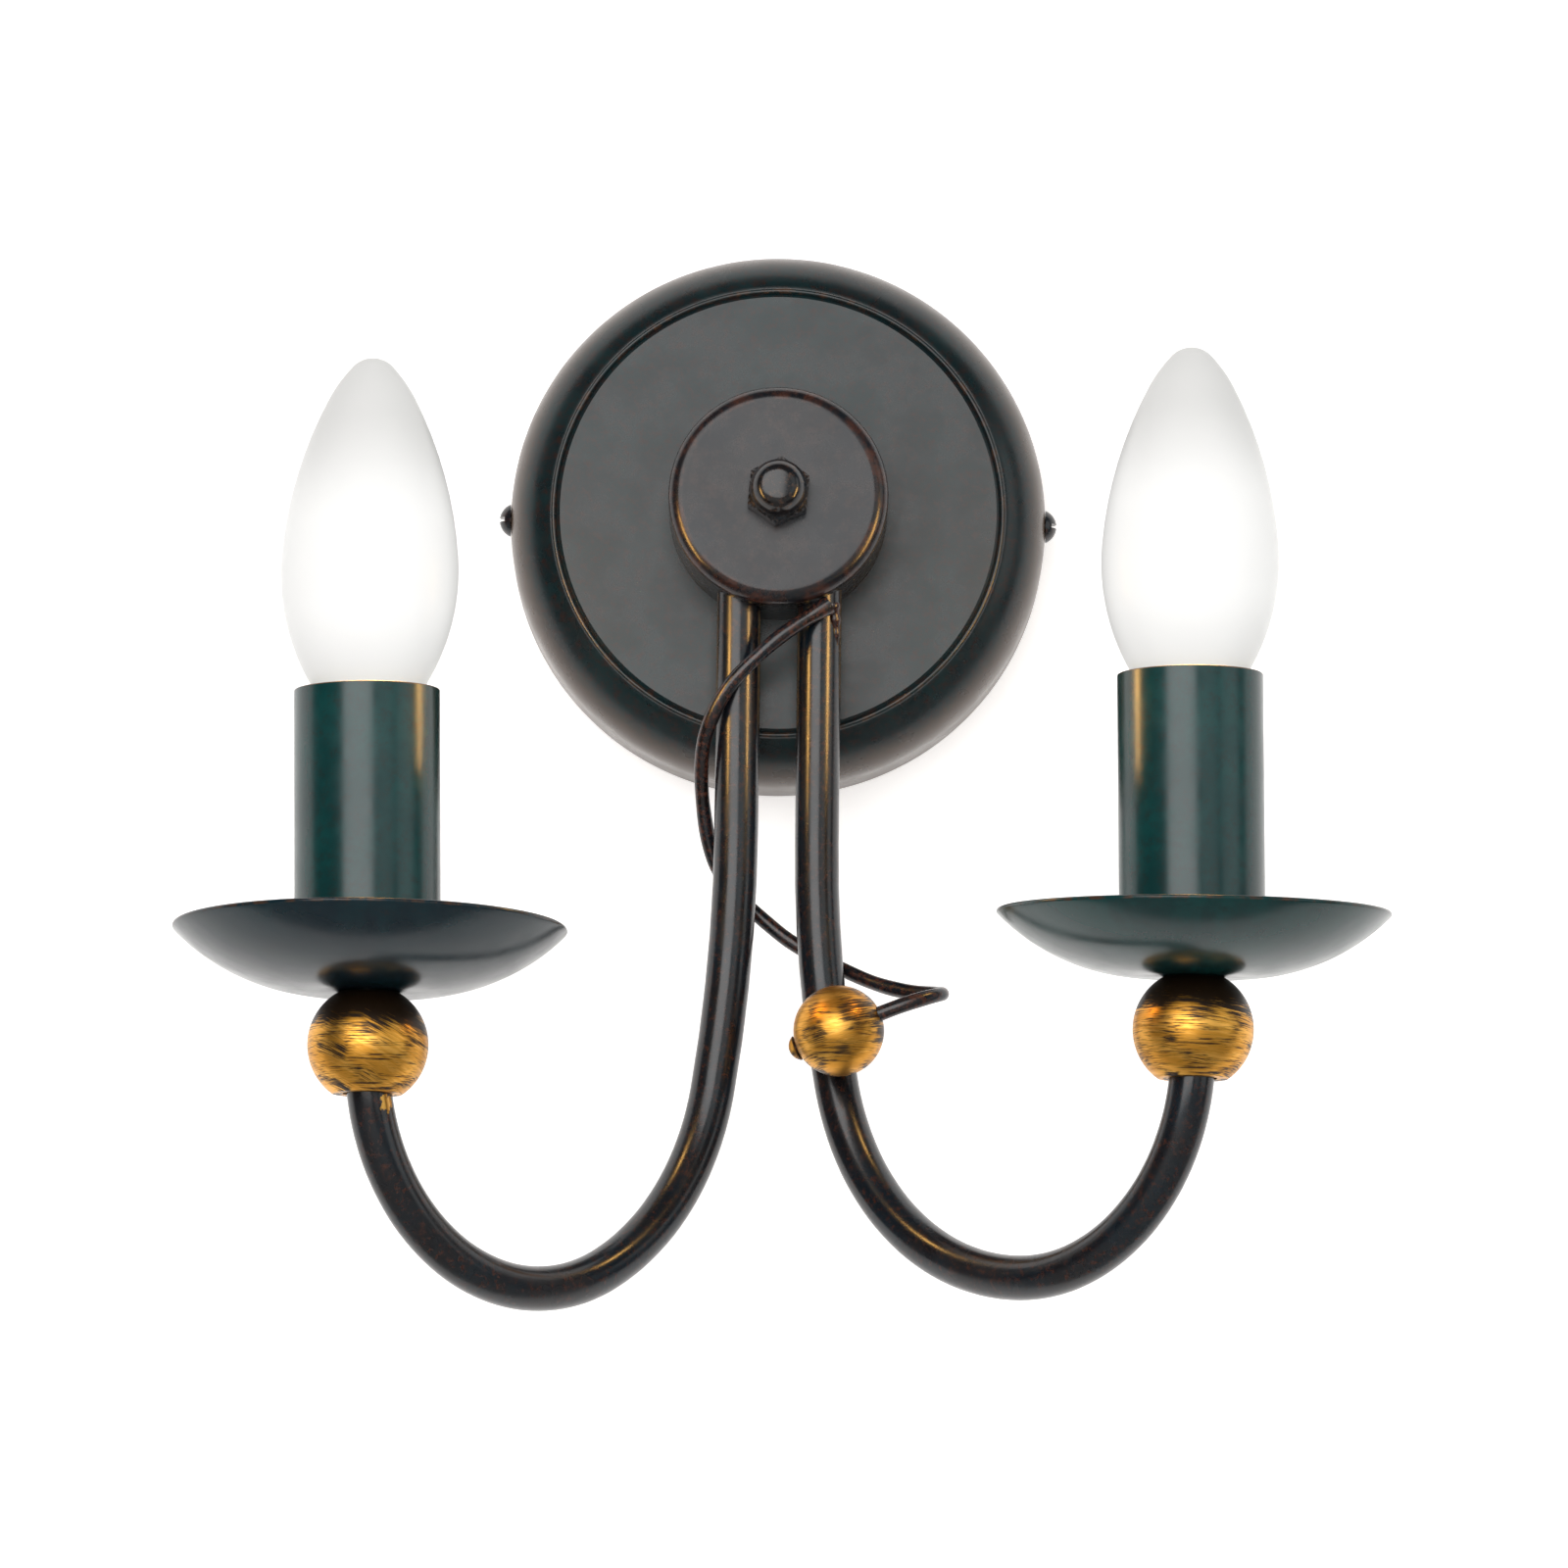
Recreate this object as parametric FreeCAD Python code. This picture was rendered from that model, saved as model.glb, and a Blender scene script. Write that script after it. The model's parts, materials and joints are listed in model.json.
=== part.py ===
import FreeCAD, Part
import math
import os

# Double arm wall sconce: a round canopy on the wall, a hub cup on its front, two
# bent tubes that leave the hub's underside and rise again as U-bends, and on each
# tube a ball, a drip dish, a candle sleeve, a lampholder and a frosted bulb.
#
# Row frame, millimetres: +Z is up, the wall is the plane Y = 0, the sconce stands
# out from it towards -Y, and the origin is the canopy's centre on the wall.
# "Depth" is the distance from the wall, so a point is (x, -depth, z).

# ---- canopy: spun sheet with a flat front, a bead ring and a rolled rim --------------
canopy_radius = 55.5
canopy_depth = 27.5
canopy_sheet = 1.2
rim_roll = 9.5
bead_radius = 0.6
bead_groove = 0.7
rim_step = 0.8

# ---- hub cup -------------------------------------------------------------------------
hub_radius = 22.5
hub_length = 24.5
hub_wall = 2.0
hub_edge_radius = 3.0

# ---- stud, cap nut and lock nut ------------------------------------------------------
stud_radius = 3.0
stud_clearance = 0.25
cap_nut_across_flats = 12.0
cap_nut_hex_height = 6.5
cap_nut_collar_radius = 5.8
cap_nut_collar_height = 2.0
cap_nut_dome_height = 4.5
cap_nut_top_radius = 2.75
cap_nut_turn = 25.0
lock_nut_across_flats = 10.0
lock_nut_height = 5.0
washer_radius = 6.5
washer_thickness = 1.2
stud_tail = 1.5

# ---- arms: one tube each, a straight leg, three arcs and a short rise ----------------
tube_radius = 4.5
tube_wall = 1.0
leg_depth = 42.0
leg_tail = 7.5
arm_plane_angle = 42.5
hole_fit = 0.05

left_leg_x = -7.8
left_leg_length = 46.0
left_bends = ((260.0, 12.0), (57.0, 49.5), (43.0, 118.5))
left_rise = 2.4

right_leg_x = 8.7
right_leg_length = 49.0
right_bends = ((202.0, 14.5), (54.5, 72.5), (42.5, 93.0))
right_rise = 4.6

leg_start_z = -22.0

# ---- candle, heights above the ball's centre -----------------------------------------
ball_radius = 12.0
ball_top = 10.4
ball_bottom = 9.75
dish_radius = 39.0
dish_height = 12.4
dish_floor_radius = 9.6
dish_sheet = 1.0
dish_nut_across_flats = 14.0
dish_nut_height = 3.0
sleeve_radius = 14.5
sleeve_wall = 1.0
sleeve_length = 59.0
sleeve_lift_gap = 0.2

# ---- lampholder ----------------------------------------------------------------------
holder_radius = 11.6
holder_base_height = 22.0
holder_floor = 7.0
holder_wall = 2.0
tube_top_gap = 0.6
carrier_height = 6.0
carrier_clearance = 0.1
contact_thickness = 0.5
contact_width = 4.0
contact_foot = 5.0
contact_knee = 1.95
contact_lean = 1.4
contact_tip = 2.4
contact_lift = 2.9
contact_gap = 0.1
shell_sheet = 0.4
shell_height = 18.0
skirt_height = 23.0
holder_screw_radius = 1.5
holder_screw_length = 4.0
terminal_offset = 6.6

# ---- bulb: 35 mm blunt candle lamp with a 14 mm screw cap ----------------------------
bulb_foot_length = 21.0
bulb_neck_radius = 7.4
bulb_neck_length = 2.787
bulb_bend_radii = (5.3, 29.2, 84.7, 45.0)
bulb_bend_degrees = (47.8, 15.6, 22.2, 40.7)
bulb_glass = 0.8
cap_radius = 6.9
cap_sheet = 0.3
cap_length = 15.5
cap_collar = 2.6
cap_fit = 0.15
tip_contact_radius = 2.4
tip_contact_height = 1.3
insulator_height = 2.0
stem_radius = 3.4
stem_height = 20.0
filament_radius = 0.3
filament_span = 9.0
filament_rise = 14.0

# ---- curled rod and its ball ---------------------------------------------------------
rod_radius = 1.5
rod_gap = 0.35
small_ball_radius = 9.2
small_ball_tilt = 22.0
small_ball_lean = 14.0
small_ball_z = -113.0
small_ball_turn = 7.0
rod_head_radius = 3.0
rod_head_height = 1.6
rod_head_gap = 0.25
rod_hairpin = 3.3
weld_radius = 2.7
weld_length = 9.0

# ---- wall bracket and its screws -----------------------------------------------------
bracket_sheet = 2.0
bracket_width = 20.0
ear_width = 14.0
ear_depth = 19.0
ear_clearance = 0.35
bend_radius = 2.5
wall_slot_spacing = 60.0
wall_slot_length = 14.0
wall_slot_width = 4.6
side_screw_radius = 1.75
side_screw_depth = 12.0
side_screw_length = 9.0
side_screw_head_radius = 3.4
side_screw_head_height = 2.3
screw_clearance = 0.25
screw_slot = 0.9
earth_screw_inset = 9.5
earth_screw_radius = 1.9
earth_head_radius = 3.6
earth_head_height = 2.2

# ---- terminal block ------------------------------------------------------------------
block_pitch = 10.0
block_length = 31.0
block_width = 14.0
block_height = 13.0
barrel_radius = 2.9
barrel_bore = 2.15
barrel_length = 11.0
barrel_height = 6.5
clamp_radius = 1.4
clamp_spacing = 6.5
block_groove = 3.0
block_screw_radius = 1.2
block_screw_head = 1.8
block_head_height = 1.3
block_edge = 1.2
small_slot = 0.6

# ---- wires ---------------------------------------------------------------------------
wire_radius = 0.9
wire_spread = 1.3
wire_hole_height = 12.0
grommet_radius = 4.2
grommet_bore = 2.7
grommet_lip = 1.0
wire_end_gap = 0.1

# ---- derived places ------------------------------------------------------------------
hub_front = canopy_depth + hub_length
plane_angle = math.radians(arm_plane_angle)
tube_bore = tube_radius - tube_wall
dish_seat = ball_top
dish_floor = dish_seat + dish_sheet
dish_nut_top = dish_floor + dish_nut_height
holder_foot = dish_nut_top
tube_top = holder_foot + holder_floor - tube_top_gap
carrier_foot = holder_foot + holder_base_height - carrier_height
carrier_top = holder_foot + holder_base_height
bulb_foot = carrier_top + contact_lift + contact_gap
glass_foot = bulb_foot + bulb_foot_length
cap_foot = bulb_foot + tip_contact_height + insulator_height
shell_foot = carrier_top
block_centre_depth = bracket_sheet + barrel_height

WALL_TURN = FreeCAD.Rotation(FreeCAD.Vector(1, 0, 0), 90)
UP = FreeCAD.Vector(0, 0, 1)


def at(x, depth, z):
    """Point at a distance from the wall."""
    return FreeCAD.Vector(x, -depth, z)


def export(name, *shapes):
    """Write one sub-part; several shapes are separate solids of one node."""
    solids = [solid for shape in shapes for solid in shape.Solids]
    for solid in solids:
        if not solid.isValid():
            raise ValueError(name + " is not a valid solid")
    node = solids[0] if len(solids) == 1 else Part.makeCompound(solids)
    node.exportStep("parts/" + name + ".step")
    size = node.BoundBox
    print("%-22s %d solid(s) %8.1f x %6.1f x %6.1f mm" % (
        name, len(solids), size.XLength, size.YLength, size.ZLength))


# ---- outlines turned about an axis ---------------------------------------------------
class Outline:
    """Closed outline in (radius, height), drawn step by step and then turned."""

    def __init__(self, radius, height):
        self.start = self.here = FreeCAD.Vector(radius, 0, height)
        self.edges = []

    def line(self, radius, height):
        there = FreeCAD.Vector(radius, 0, height)
        if there.distanceToPoint(self.here) > 1e-6:
            self.edges.append(Part.LineSegment(self.here, there).toShape())
            self.here = there
        return self

    def arc(self, radius, height, through_radius, through_height):
        there = FreeCAD.Vector(radius, 0, height)
        middle = FreeCAD.Vector(through_radius, 0, through_height)
        self.edges.append(Part.Arc(self.here, middle, there).toShape())
        self.here = there
        return self

    def round(self, radius, height, centre_radius, centre_height):
        """Arc to a point about a centre, the short way round."""
        centre = FreeCAD.Vector(centre_radius, 0, centre_height)
        there = FreeCAD.Vector(radius, 0, height)
        span = self.here.distanceToPoint(centre)
        halfway = (self.here - centre) + (there - centre)
        middle = centre + halfway.normalize() * span
        return self.arc(radius, height, middle.x, middle.z)

    def turn(self):
        """Close the outline and turn it about the Z axis."""
        self.line(self.start.x, self.start.z)
        face = Part.Face(Part.Wire(self.edges))
        return face.revolve(FreeCAD.Vector(0, 0, 0), UP, 360)


def on_wall(shape):
    """Turn a shape whose height runs out of the wall, and whose Y axis is up."""
    placed = shape.copy()
    turn = FreeCAD.Placement(FreeCAD.Vector(0, 0, 0), WALL_TURN)
    placed.Placement = turn.multiply(placed.Placement)
    return placed


def disc(radius, height, foot=0.0, x=0.0, y=0.0):
    """Round bar along Z."""
    return Part.makeCylinder(radius, height, FreeCAD.Vector(x, y, foot), UP)


def ring(outer, inner, height, foot=0.0, x=0.0, y=0.0):
    """Round bar with a bore, along Z."""
    return disc(outer, height, foot, x, y).cut(disc(inner, height, foot, x, y))


def hexagon(across_flats, height, foot=0.0, turn=0.0):
    """Hexagonal bar along Z."""
    corner = across_flats / math.sqrt(3)
    angles = [math.radians(turn + 60 * step) for step in range(7)]
    points = [FreeCAD.Vector(corner * math.cos(a), corner * math.sin(a), foot) for a in angles]
    return Part.Face(Part.makePolygon(points)).extrude(FreeCAD.Vector(0, 0, height))


def hex_nut(across_flats, height, bore, foot=0.0, turn=0.0):
    """Plain hexagon nut with the corners turned off on both faces."""
    corner = across_flats / math.sqrt(3)
    shoulder = corner - across_flats / 2
    drop = shoulder / 2
    cone = (Outline(0, foot)
            .line(corner - shoulder, foot)
            .line(corner, foot + drop)
            .line(corner, foot + height - drop)
            .line(corner - shoulder, foot + height)
            .line(0, foot + height)
            .turn())
    return hexagon(across_flats, height, foot, turn).common(cone).cut(disc(bore, height, foot))


def dome(radius, height, foot=0.0):
    """Low round dome along Z, a segment of one sphere."""
    sphere = (radius * radius + height * height) / (2 * height)
    centre = foot + height - sphere
    middle = math.asin(radius / sphere) / 2
    return (Outline(0, foot).line(radius, foot)
            .arc(0, foot + height, sphere * math.sin(middle), centre + sphere * math.cos(middle))
            .turn())


def slotted_head(radius, height, foot, slot_width, slot_depth):
    """Domed screw head along Z with a straight slot."""
    corner = FreeCAD.Vector(-radius - 0.5, -slot_width / 2, foot + height - slot_depth)
    slot = Part.makeBox(2 * radius + 1, slot_width, slot_depth + 1, corner)
    return dome(radius, height, foot).cut(slot)


# ---- tubes and wires along a path ----------------------------------------------------
def sweep(edges, section_radius):
    """Round bar that follows joined edges, checked against its length."""
    path = Part.Wire(edges)
    start = path.OrderedEdges[0]
    first = start.valueAt(start.FirstParameter)
    heading = start.tangentAt(start.FirstParameter)
    section = Part.Wire(Part.makeCircle(section_radius, first, heading))
    bar = path.makePipeShell([section], True, False)
    expected = math.pi * section_radius ** 2 * path.Length
    if abs(bar.Volume / expected - 1) > 0.01:
        raise ValueError("swept bar has the wrong volume")
    return bar.Solids[0]


def rounded_route(points, share=0.45):
    """Straight runs joined by tangent arcs, each as large as its runs allow."""
    edges = []
    here = points[0]
    radii = []
    for before, corner, after in zip(points, points[1:], points[2:]):
        run_in = corner - before
        run_out = after - corner
        turn = run_in.getAngle(run_out)
        reach = share * min(run_in.Length, run_out.Length)
        radius = reach / math.tan(turn / 2)
        arc_start = corner - run_in.normalize() * reach
        arc_end = corner + run_out.normalize() * reach
        chord_middle = (arc_start + arc_end) / 2
        to_corner = (corner - chord_middle).normalize()
        rise = radius * (1 - math.cos(turn / 2))
        edges.append(Part.LineSegment(here, arc_start).toShape())
        edges.append(Part.Arc(arc_start, chord_middle + to_corner * rise, arc_end).toShape())
        here = arc_end
        radii.append(radius)
    edges.append(Part.LineSegment(here, points[-1]).toShape())
    return edges, radii


class Arm:
    """One tube: its path in an upright plane turned out from the wall."""

    def __init__(self, side, leg_x, leg_length, bends, rise):
        self.side = side
        self.leg_x = leg_x
        self.leg_length = leg_length
        self.bends = bends
        self.rise = rise
        self.centre = self.edges(0.0, 0.0, 0.0)[1]

    def place(self, out, z):
        """Point of the arm's plane, a distance out from the leg."""
        x = self.leg_x + self.side * out * math.cos(plane_angle)
        depth = leg_depth + out * math.sin(plane_angle)
        return at(x, depth, z)

    def edges(self, offset, tail, top):
        """Path beside the centreline, from above the leg to above the ball."""
        out = offset
        z = leg_start_z
        top_end = self.place(out, z + tail)
        z -= self.leg_length
        path = [Part.LineSegment(top_end, self.place(out, z)).toShape()]
        heading = 0.0
        for bend_radius_here, degrees in self.bends:
            radius = bend_radius_here - offset
            end_heading = heading + math.radians(degrees)
            marks = []
            for angle in (heading, (heading + end_heading) / 2, end_heading):
                marks.append(self.place(out + radius * (math.cos(heading) - math.cos(angle)),
                                        z - radius * (math.sin(angle) - math.sin(heading))))
            path.append(Part.Arc(*marks).toShape())
            out += radius * (math.cos(heading) - math.cos(end_heading))
            z -= radius * (math.sin(end_heading) - math.sin(heading))
            heading = end_heading
        ball_z = z + self.rise
        path.append(Part.LineSegment(self.place(out, z), self.place(out, ball_z + top)).toShape())
        return path, self.place(out, ball_z)

    def along_leg(self, z):
        """Centre and downward direction of the tube, on its leg or first bend."""
        radius = self.bends[0][0]
        drop = max(leg_start_z - self.leg_length - z, 0.0)
        angle = math.asin(drop / radius)
        centre = self.place(radius * (1 - math.cos(angle)), z)
        ahead = self.place(math.sin(angle), 0) - self.place(0, math.cos(angle))
        return centre, ahead.normalize()

    def tube(self):
        path = self.edges(0.0, leg_tail, tube_top)[0]
        return sweep(path, tube_radius).cut(sweep(path, tube_bore))

    def rise_to(self, shape):
        """Carry a candle piece, made about the ball's centre, to this arm."""
        placed = shape.copy()
        placed.translate(self.centre)
        return placed


# ---- canopy, hub and what clamps them ------------------------------------------------
def make_canopy(side_screw_hole):
    """Spun sheet of even thickness with its holes."""
    stud_hole = stud_radius + stud_clearance
    front = canopy_depth
    inside = canopy_depth - canopy_sheet
    roll_start = canopy_radius - rim_roll
    roll_top = front - rim_step
    bead_centre = roll_start - bead_radius - 0.1
    bead_foot = front - bead_groove
    inner_roll = rim_roll - canopy_sheet
    inner_edge = canopy_radius - canopy_sheet
    shell = (Outline(stud_hole, front)
             .line(bead_centre - 2.2 * bead_radius, front)
             .line(bead_centre - bead_radius, bead_foot)
             .arc(bead_centre + bead_radius, bead_foot, bead_centre, bead_foot + bead_radius)
             .line(roll_start, roll_top)
             .round(canopy_radius, roll_top - rim_roll, roll_start, roll_top - rim_roll)
             .line(canopy_radius, 0)
             .line(inner_edge, 0)
             .line(inner_edge, roll_top - rim_roll)
             .round(roll_start, roll_top - rim_roll + inner_roll, roll_start, roll_top - rim_roll)
             .line(bead_centre - 2.2 * bead_radius, inside - bead_groove)
             .line(bead_centre - 2.2 * bead_radius - 2 * bead_groove, inside)
             .line(stud_hole, inside)
             .turn())
    for arm in arms:
        shell = shell.cut(disc(grommet_radius, canopy_depth, 1, arm.leg_x, wire_hole_height))
    shell = shell.cut(side_screw_hole)
    return on_wall(shell)


def make_hub():
    """Drum open to the canopy, bored for the two tubes and the stud."""
    stud_hole = stud_radius + stud_clearance
    edge = hub_edge_radius
    inner_edge = max(edge - hub_wall, 0.5)
    inner_radius = hub_radius - hub_wall
    inner_front = hub_front - hub_wall
    drum = (Outline(stud_hole, hub_front)
            .line(hub_radius - edge, hub_front)
            .round(hub_radius, hub_front - edge, hub_radius - edge, hub_front - edge)
            .line(hub_radius, canopy_depth)
            .line(inner_radius, canopy_depth)
            .line(inner_radius, inner_front - inner_edge)
            .round(inner_radius - inner_edge, inner_front,
                   inner_radius - inner_edge, inner_front - inner_edge)
            .line(stud_hole, inner_front)
            .turn())
    drum = on_wall(drum)
    for arm in arms:
        top = at(arm.leg_x, leg_depth, 0)
        hole = Part.makeCylinder(tube_radius + hole_fit, hub_radius + 1, top, -UP)
        drum = drum.cut(hole)
    return drum


def make_cap_nut():
    """Acorn nut: chamfered hexagon, turned collar and a flat-topped dome."""
    foot = hub_front
    corner = cap_nut_across_flats / math.sqrt(3)
    flat = cap_nut_across_flats / 2
    hex_top = foot + cap_nut_hex_height
    collar_top = hex_top + cap_nut_collar_height
    dome_top = collar_top + cap_nut_dome_height
    bulge_radius = cap_nut_collar_radius - 0.35 * (cap_nut_collar_radius - cap_nut_top_radius)
    turned = (Outline(0, foot).line(flat, foot).line(corner, foot + 0.6)
              .line(corner, hex_top - 0.9).line(cap_nut_collar_radius, hex_top)
              .line(cap_nut_collar_radius, collar_top)
              .arc(cap_nut_top_radius, dome_top, bulge_radius, collar_top + 0.72 * cap_nut_dome_height)
              .line(0, dome_top).turn())
    prism = hexagon(cap_nut_across_flats, cap_nut_hex_height, foot, cap_nut_turn)
    above = disc(cap_nut_collar_radius, dome_top - hex_top, hex_top)
    nut = turned.common(prism.fuse(above))
    thread_depth = cap_nut_hex_height + cap_nut_collar_height
    return on_wall(nut.removeSplitter().cut(disc(stud_radius, thread_depth, foot)))


def make_stud_set():
    """Stud, lock nut and washer behind the canopy's front."""
    washer_foot = canopy_depth - canopy_sheet - washer_thickness
    nut_foot = washer_foot - lock_nut_height
    stud_foot = nut_foot - stud_tail
    stud_top = hub_front + cap_nut_hex_height + cap_nut_collar_height
    export("hub_stud", on_wall(disc(stud_radius, stud_top - stud_foot, stud_foot)))
    export("lock_nut", on_wall(hex_nut(lock_nut_across_flats, lock_nut_height, stud_radius, nut_foot)))
    hole = stud_radius + stud_clearance
    export("lock_washer", on_wall(ring(washer_radius, hole, washer_thickness, washer_foot)))


# ---- wall bracket, side screws and earth screw ---------------------------------------
def ear_face():
    """Distance of an ear's outer face from the middle, inside the round canopy."""
    inner = canopy_radius - canopy_sheet
    return math.sqrt(inner ** 2 - (ear_width / 2) ** 2) - ear_clearance


def earth_screw_place():
    """Place of the earth screw along the bracket, a set way inside the right ear."""
    return ear_face() - earth_screw_inset


def slot_cutter(x, width, length):
    """Slot with round ends along X, through the bracket."""
    half = (length - width) / 2
    bar = Part.makeBox(2 * half, width, 3 * bracket_sheet,
                       FreeCAD.Vector(x - half, -width / 2, -bracket_sheet))
    ends = [disc(width / 2, 3 * bracket_sheet, -bracket_sheet, x + s * half) for s in (-1, 1)]
    return bar.fuse(ends)


def cross_bar(radius):
    """Bar right across the canopy, on the line of the two side screws."""
    reach = canopy_radius + 1
    start = FreeCAD.Vector(-reach, 0, side_screw_depth)
    return Part.makeCylinder(radius, 2 * reach, start, FreeCAD.Vector(1, 0, 0))


def make_bracket():
    """Strip on the wall with its two ends bent forward as ears."""
    reach = ear_face()
    outer = bend_radius + bracket_sheet
    edges = []
    here = FreeCAD.Vector(0, 0, 0)

    def to(x, z):
        nonlocal here
        there = FreeCAD.Vector(x, 0, z)
        edges.append(Part.LineSegment(here, there).toShape())
        here = there

    def bend(x, z, centre_x, centre_z, radius):
        nonlocal here
        there = FreeCAD.Vector(x, 0, z)
        centre = FreeCAD.Vector(centre_x, 0, centre_z)
        middle = centre + ((here - centre) + (there - centre)).normalize() * radius
        edges.append(Part.Arc(here, middle, there).toShape())
        here = there

    to(reach - outer, 0)
    bend(reach, outer, reach - outer, outer, outer)
    to(reach, ear_depth)
    to(reach - bracket_sheet, ear_depth)
    to(reach - bracket_sheet, outer)
    bend(reach - outer, bracket_sheet, reach - outer, outer, bend_radius)
    to(0, bracket_sheet)
    to(0, 0)
    profile = Part.Face(Part.Wire(edges))
    half = profile.extrude(FreeCAD.Vector(0, bracket_width, 0))
    half.translate(FreeCAD.Vector(0, -bracket_width / 2, 0))
    spare = (bracket_width - ear_width) / 2
    for side in (-1, 1):
        corner = FreeCAD.Vector(reach - outer, side * (ear_width + spare) / 2 - spare / 2, -1)
        half = half.cut(Part.makeBox(outer + 1, spare, ear_depth + 2, corner))
    mirrored = half.mirror(FreeCAD.Vector(0, 0, 0), FreeCAD.Vector(1, 0, 0))
    strip = half.fuse(mirrored).removeSplitter()
    for side in (-1, 1):
        slot = slot_cutter(side * wall_slot_spacing / 2, wall_slot_width, wall_slot_length)
        strip = strip.cut(slot)
        hole = disc(block_screw_radius, 3 * bracket_sheet, -bracket_sheet, side * block_pitch / 2)
        strip = strip.cut(hole)
    hole = disc(earth_screw_radius, 3 * bracket_sheet, -bracket_sheet, earth_screw_place())
    return on_wall(strip.cut(hole).cut(cross_bar(side_screw_radius)))


def side_screw_holes():
    """Clearance for both side screws through the canopy's rim."""
    return cross_bar(side_screw_radius + screw_clearance)


def make_side_screws():
    """Round-headed screw on each side, seated on the rim, its slot out from the wall."""
    seat = canopy_radius + 0.05
    screws = []
    for side in (-1, 1):
        shank = disc(side_screw_radius, side_screw_length, -side_screw_length)
        head = slotted_head(side_screw_head_radius, side_screw_head_height, 0, screw_slot, 1.1)
        screw = shank.fuse(head).removeSplitter()
        lie = FreeCAD.Rotation(FreeCAD.Vector(0, 1, 0), 90 * side)
        lie = lie.multiply(FreeCAD.Rotation(UP, 90))
        screw.Placement = FreeCAD.Placement(at(side * seat, side_screw_depth, 0), lie)
        screws.append(screw)
    return screws


def make_earth_screw():
    """Pan head screw that clamps the earth wire on the bracket."""
    seat = bracket_sheet + 2 * (wire_radius + wire_end_gap)
    head = slotted_head(earth_head_radius, earth_head_height, seat, screw_slot, 1.0)
    shank = disc(earth_screw_radius, seat)
    screw = shank.fuse(head).removeSplitter()
    screw.translate(FreeCAD.Vector(earth_screw_place(), 0, 0))
    return on_wall(screw)


# ---- terminal block ------------------------------------------------------------------
def pole_places():
    """Middle of the live, neutral and earth poles."""
    return [-block_pitch, 0.0, block_pitch]


def make_terminal_block():
    """Moulded body with a tunnel, two clamp shafts and ribs for each pole."""
    body = Part.makeBox(block_length, block_width, block_height,
                        FreeCAD.Vector(-block_length / 2, -block_width / 2, bracket_sheet))
    upright = [edge for edge in body.Edges if abs(edge.tangentAt(edge.FirstParameter).z) > 0.9]
    body = body.makeFillet(block_edge, upright)
    along = FreeCAD.Vector(0, 1, 0)
    for x in pole_places():
        start = FreeCAD.Vector(x, -block_width / 2 - 1, block_centre_depth)
        tunnel = Part.makeCylinder(barrel_radius + hole_fit, block_width + 2, start, along)
        body = body.cut(tunnel)
        for side in (-1, 1):
            shaft = disc(clamp_radius + 0.4, block_height, block_centre_depth,
                         x, side * clamp_spacing / 2)
            body = body.cut(shaft)
    for side in (-1, 1):
        x = side * block_pitch / 2
        seat = bracket_sheet + block_height - block_groove
        corner = FreeCAD.Vector(x - 0.8, -block_width / 2 - 1, seat)
        body = body.cut(Part.makeBox(1.6, block_width + 2, block_groove, corner))
        body = body.cut(disc(block_screw_radius + 0.1, block_height, bracket_sheet, x))
        body = body.cut(disc(block_screw_head + 0.2, block_height, seat, x))
    return on_wall(body)


def make_barrels():
    """Brass clamp barrel of each pole, tapped for two screws."""
    barrels = []
    along = FreeCAD.Vector(0, 1, 0)
    for x in pole_places():
        start = FreeCAD.Vector(x, -barrel_length / 2, block_centre_depth)
        barrel = Part.makeCylinder(barrel_radius, barrel_length, start, along)
        barrel = barrel.cut(Part.makeCylinder(barrel_bore, barrel_length, start, along))
        for side in (-1, 1):
            thread = disc(clamp_radius, barrel_radius + 1, block_centre_depth,
                          x, side * clamp_spacing / 2)
            barrel = barrel.cut(thread)
        barrels.append(on_wall(barrel))
    return barrels


def make_clamp_screws():
    """Slotted grub screw over each wire end."""
    screws = []
    top = bracket_sheet + block_height - 0.6
    foot = block_centre_depth + wire_radius + 0.1
    for x in pole_places():
        for side in (-1, 1):
            screw = disc(clamp_radius - 0.03, top - foot, foot, x, side * clamp_spacing / 2)
            middle = side * clamp_spacing / 2
            corner = FreeCAD.Vector(x - clamp_radius, middle - small_slot / 2, top - 0.7)
            slot = Part.makeBox(2 * clamp_radius, small_slot, 1, corner)
            screws.append(on_wall(screw.cut(slot)))
    return screws


def make_block_screws():
    """Two screws that hold the block on the bracket."""
    screws = []
    seat = bracket_sheet + block_height - block_groove
    for side in (-1, 1):
        shank = disc(block_screw_radius - 0.03, seat)
        head = slotted_head(block_screw_head, block_head_height, seat, small_slot, 0.6)
        screw = shank.fuse(head).removeSplitter()
        screw.translate(FreeCAD.Vector(side * block_pitch / 2, 0, 0))
        screws.append(on_wall(screw))
    return screws


def make_grommets():
    """Rubber bush round each arm's wires where they pass the canopy's front."""
    inside = canopy_depth - canopy_sheet
    bushes = []
    for arm in arms:
        bush = (Outline(grommet_bore, inside - grommet_lip)
                .line(grommet_radius + 1.0, inside - grommet_lip)
                .line(grommet_radius + 1.0, inside)
                .line(grommet_radius - hole_fit, inside)
                .line(grommet_radius - hole_fit, canopy_depth)
                .line(grommet_radius + 1.0, canopy_depth)
                .line(grommet_radius + 1.0, canopy_depth + grommet_lip)
                .line(grommet_bore, canopy_depth + grommet_lip)
                .turn())
        bush.translate(FreeCAD.Vector(arm.leg_x, wire_hole_height, 0))
        bushes.append(on_wall(bush))
    return bushes


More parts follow.
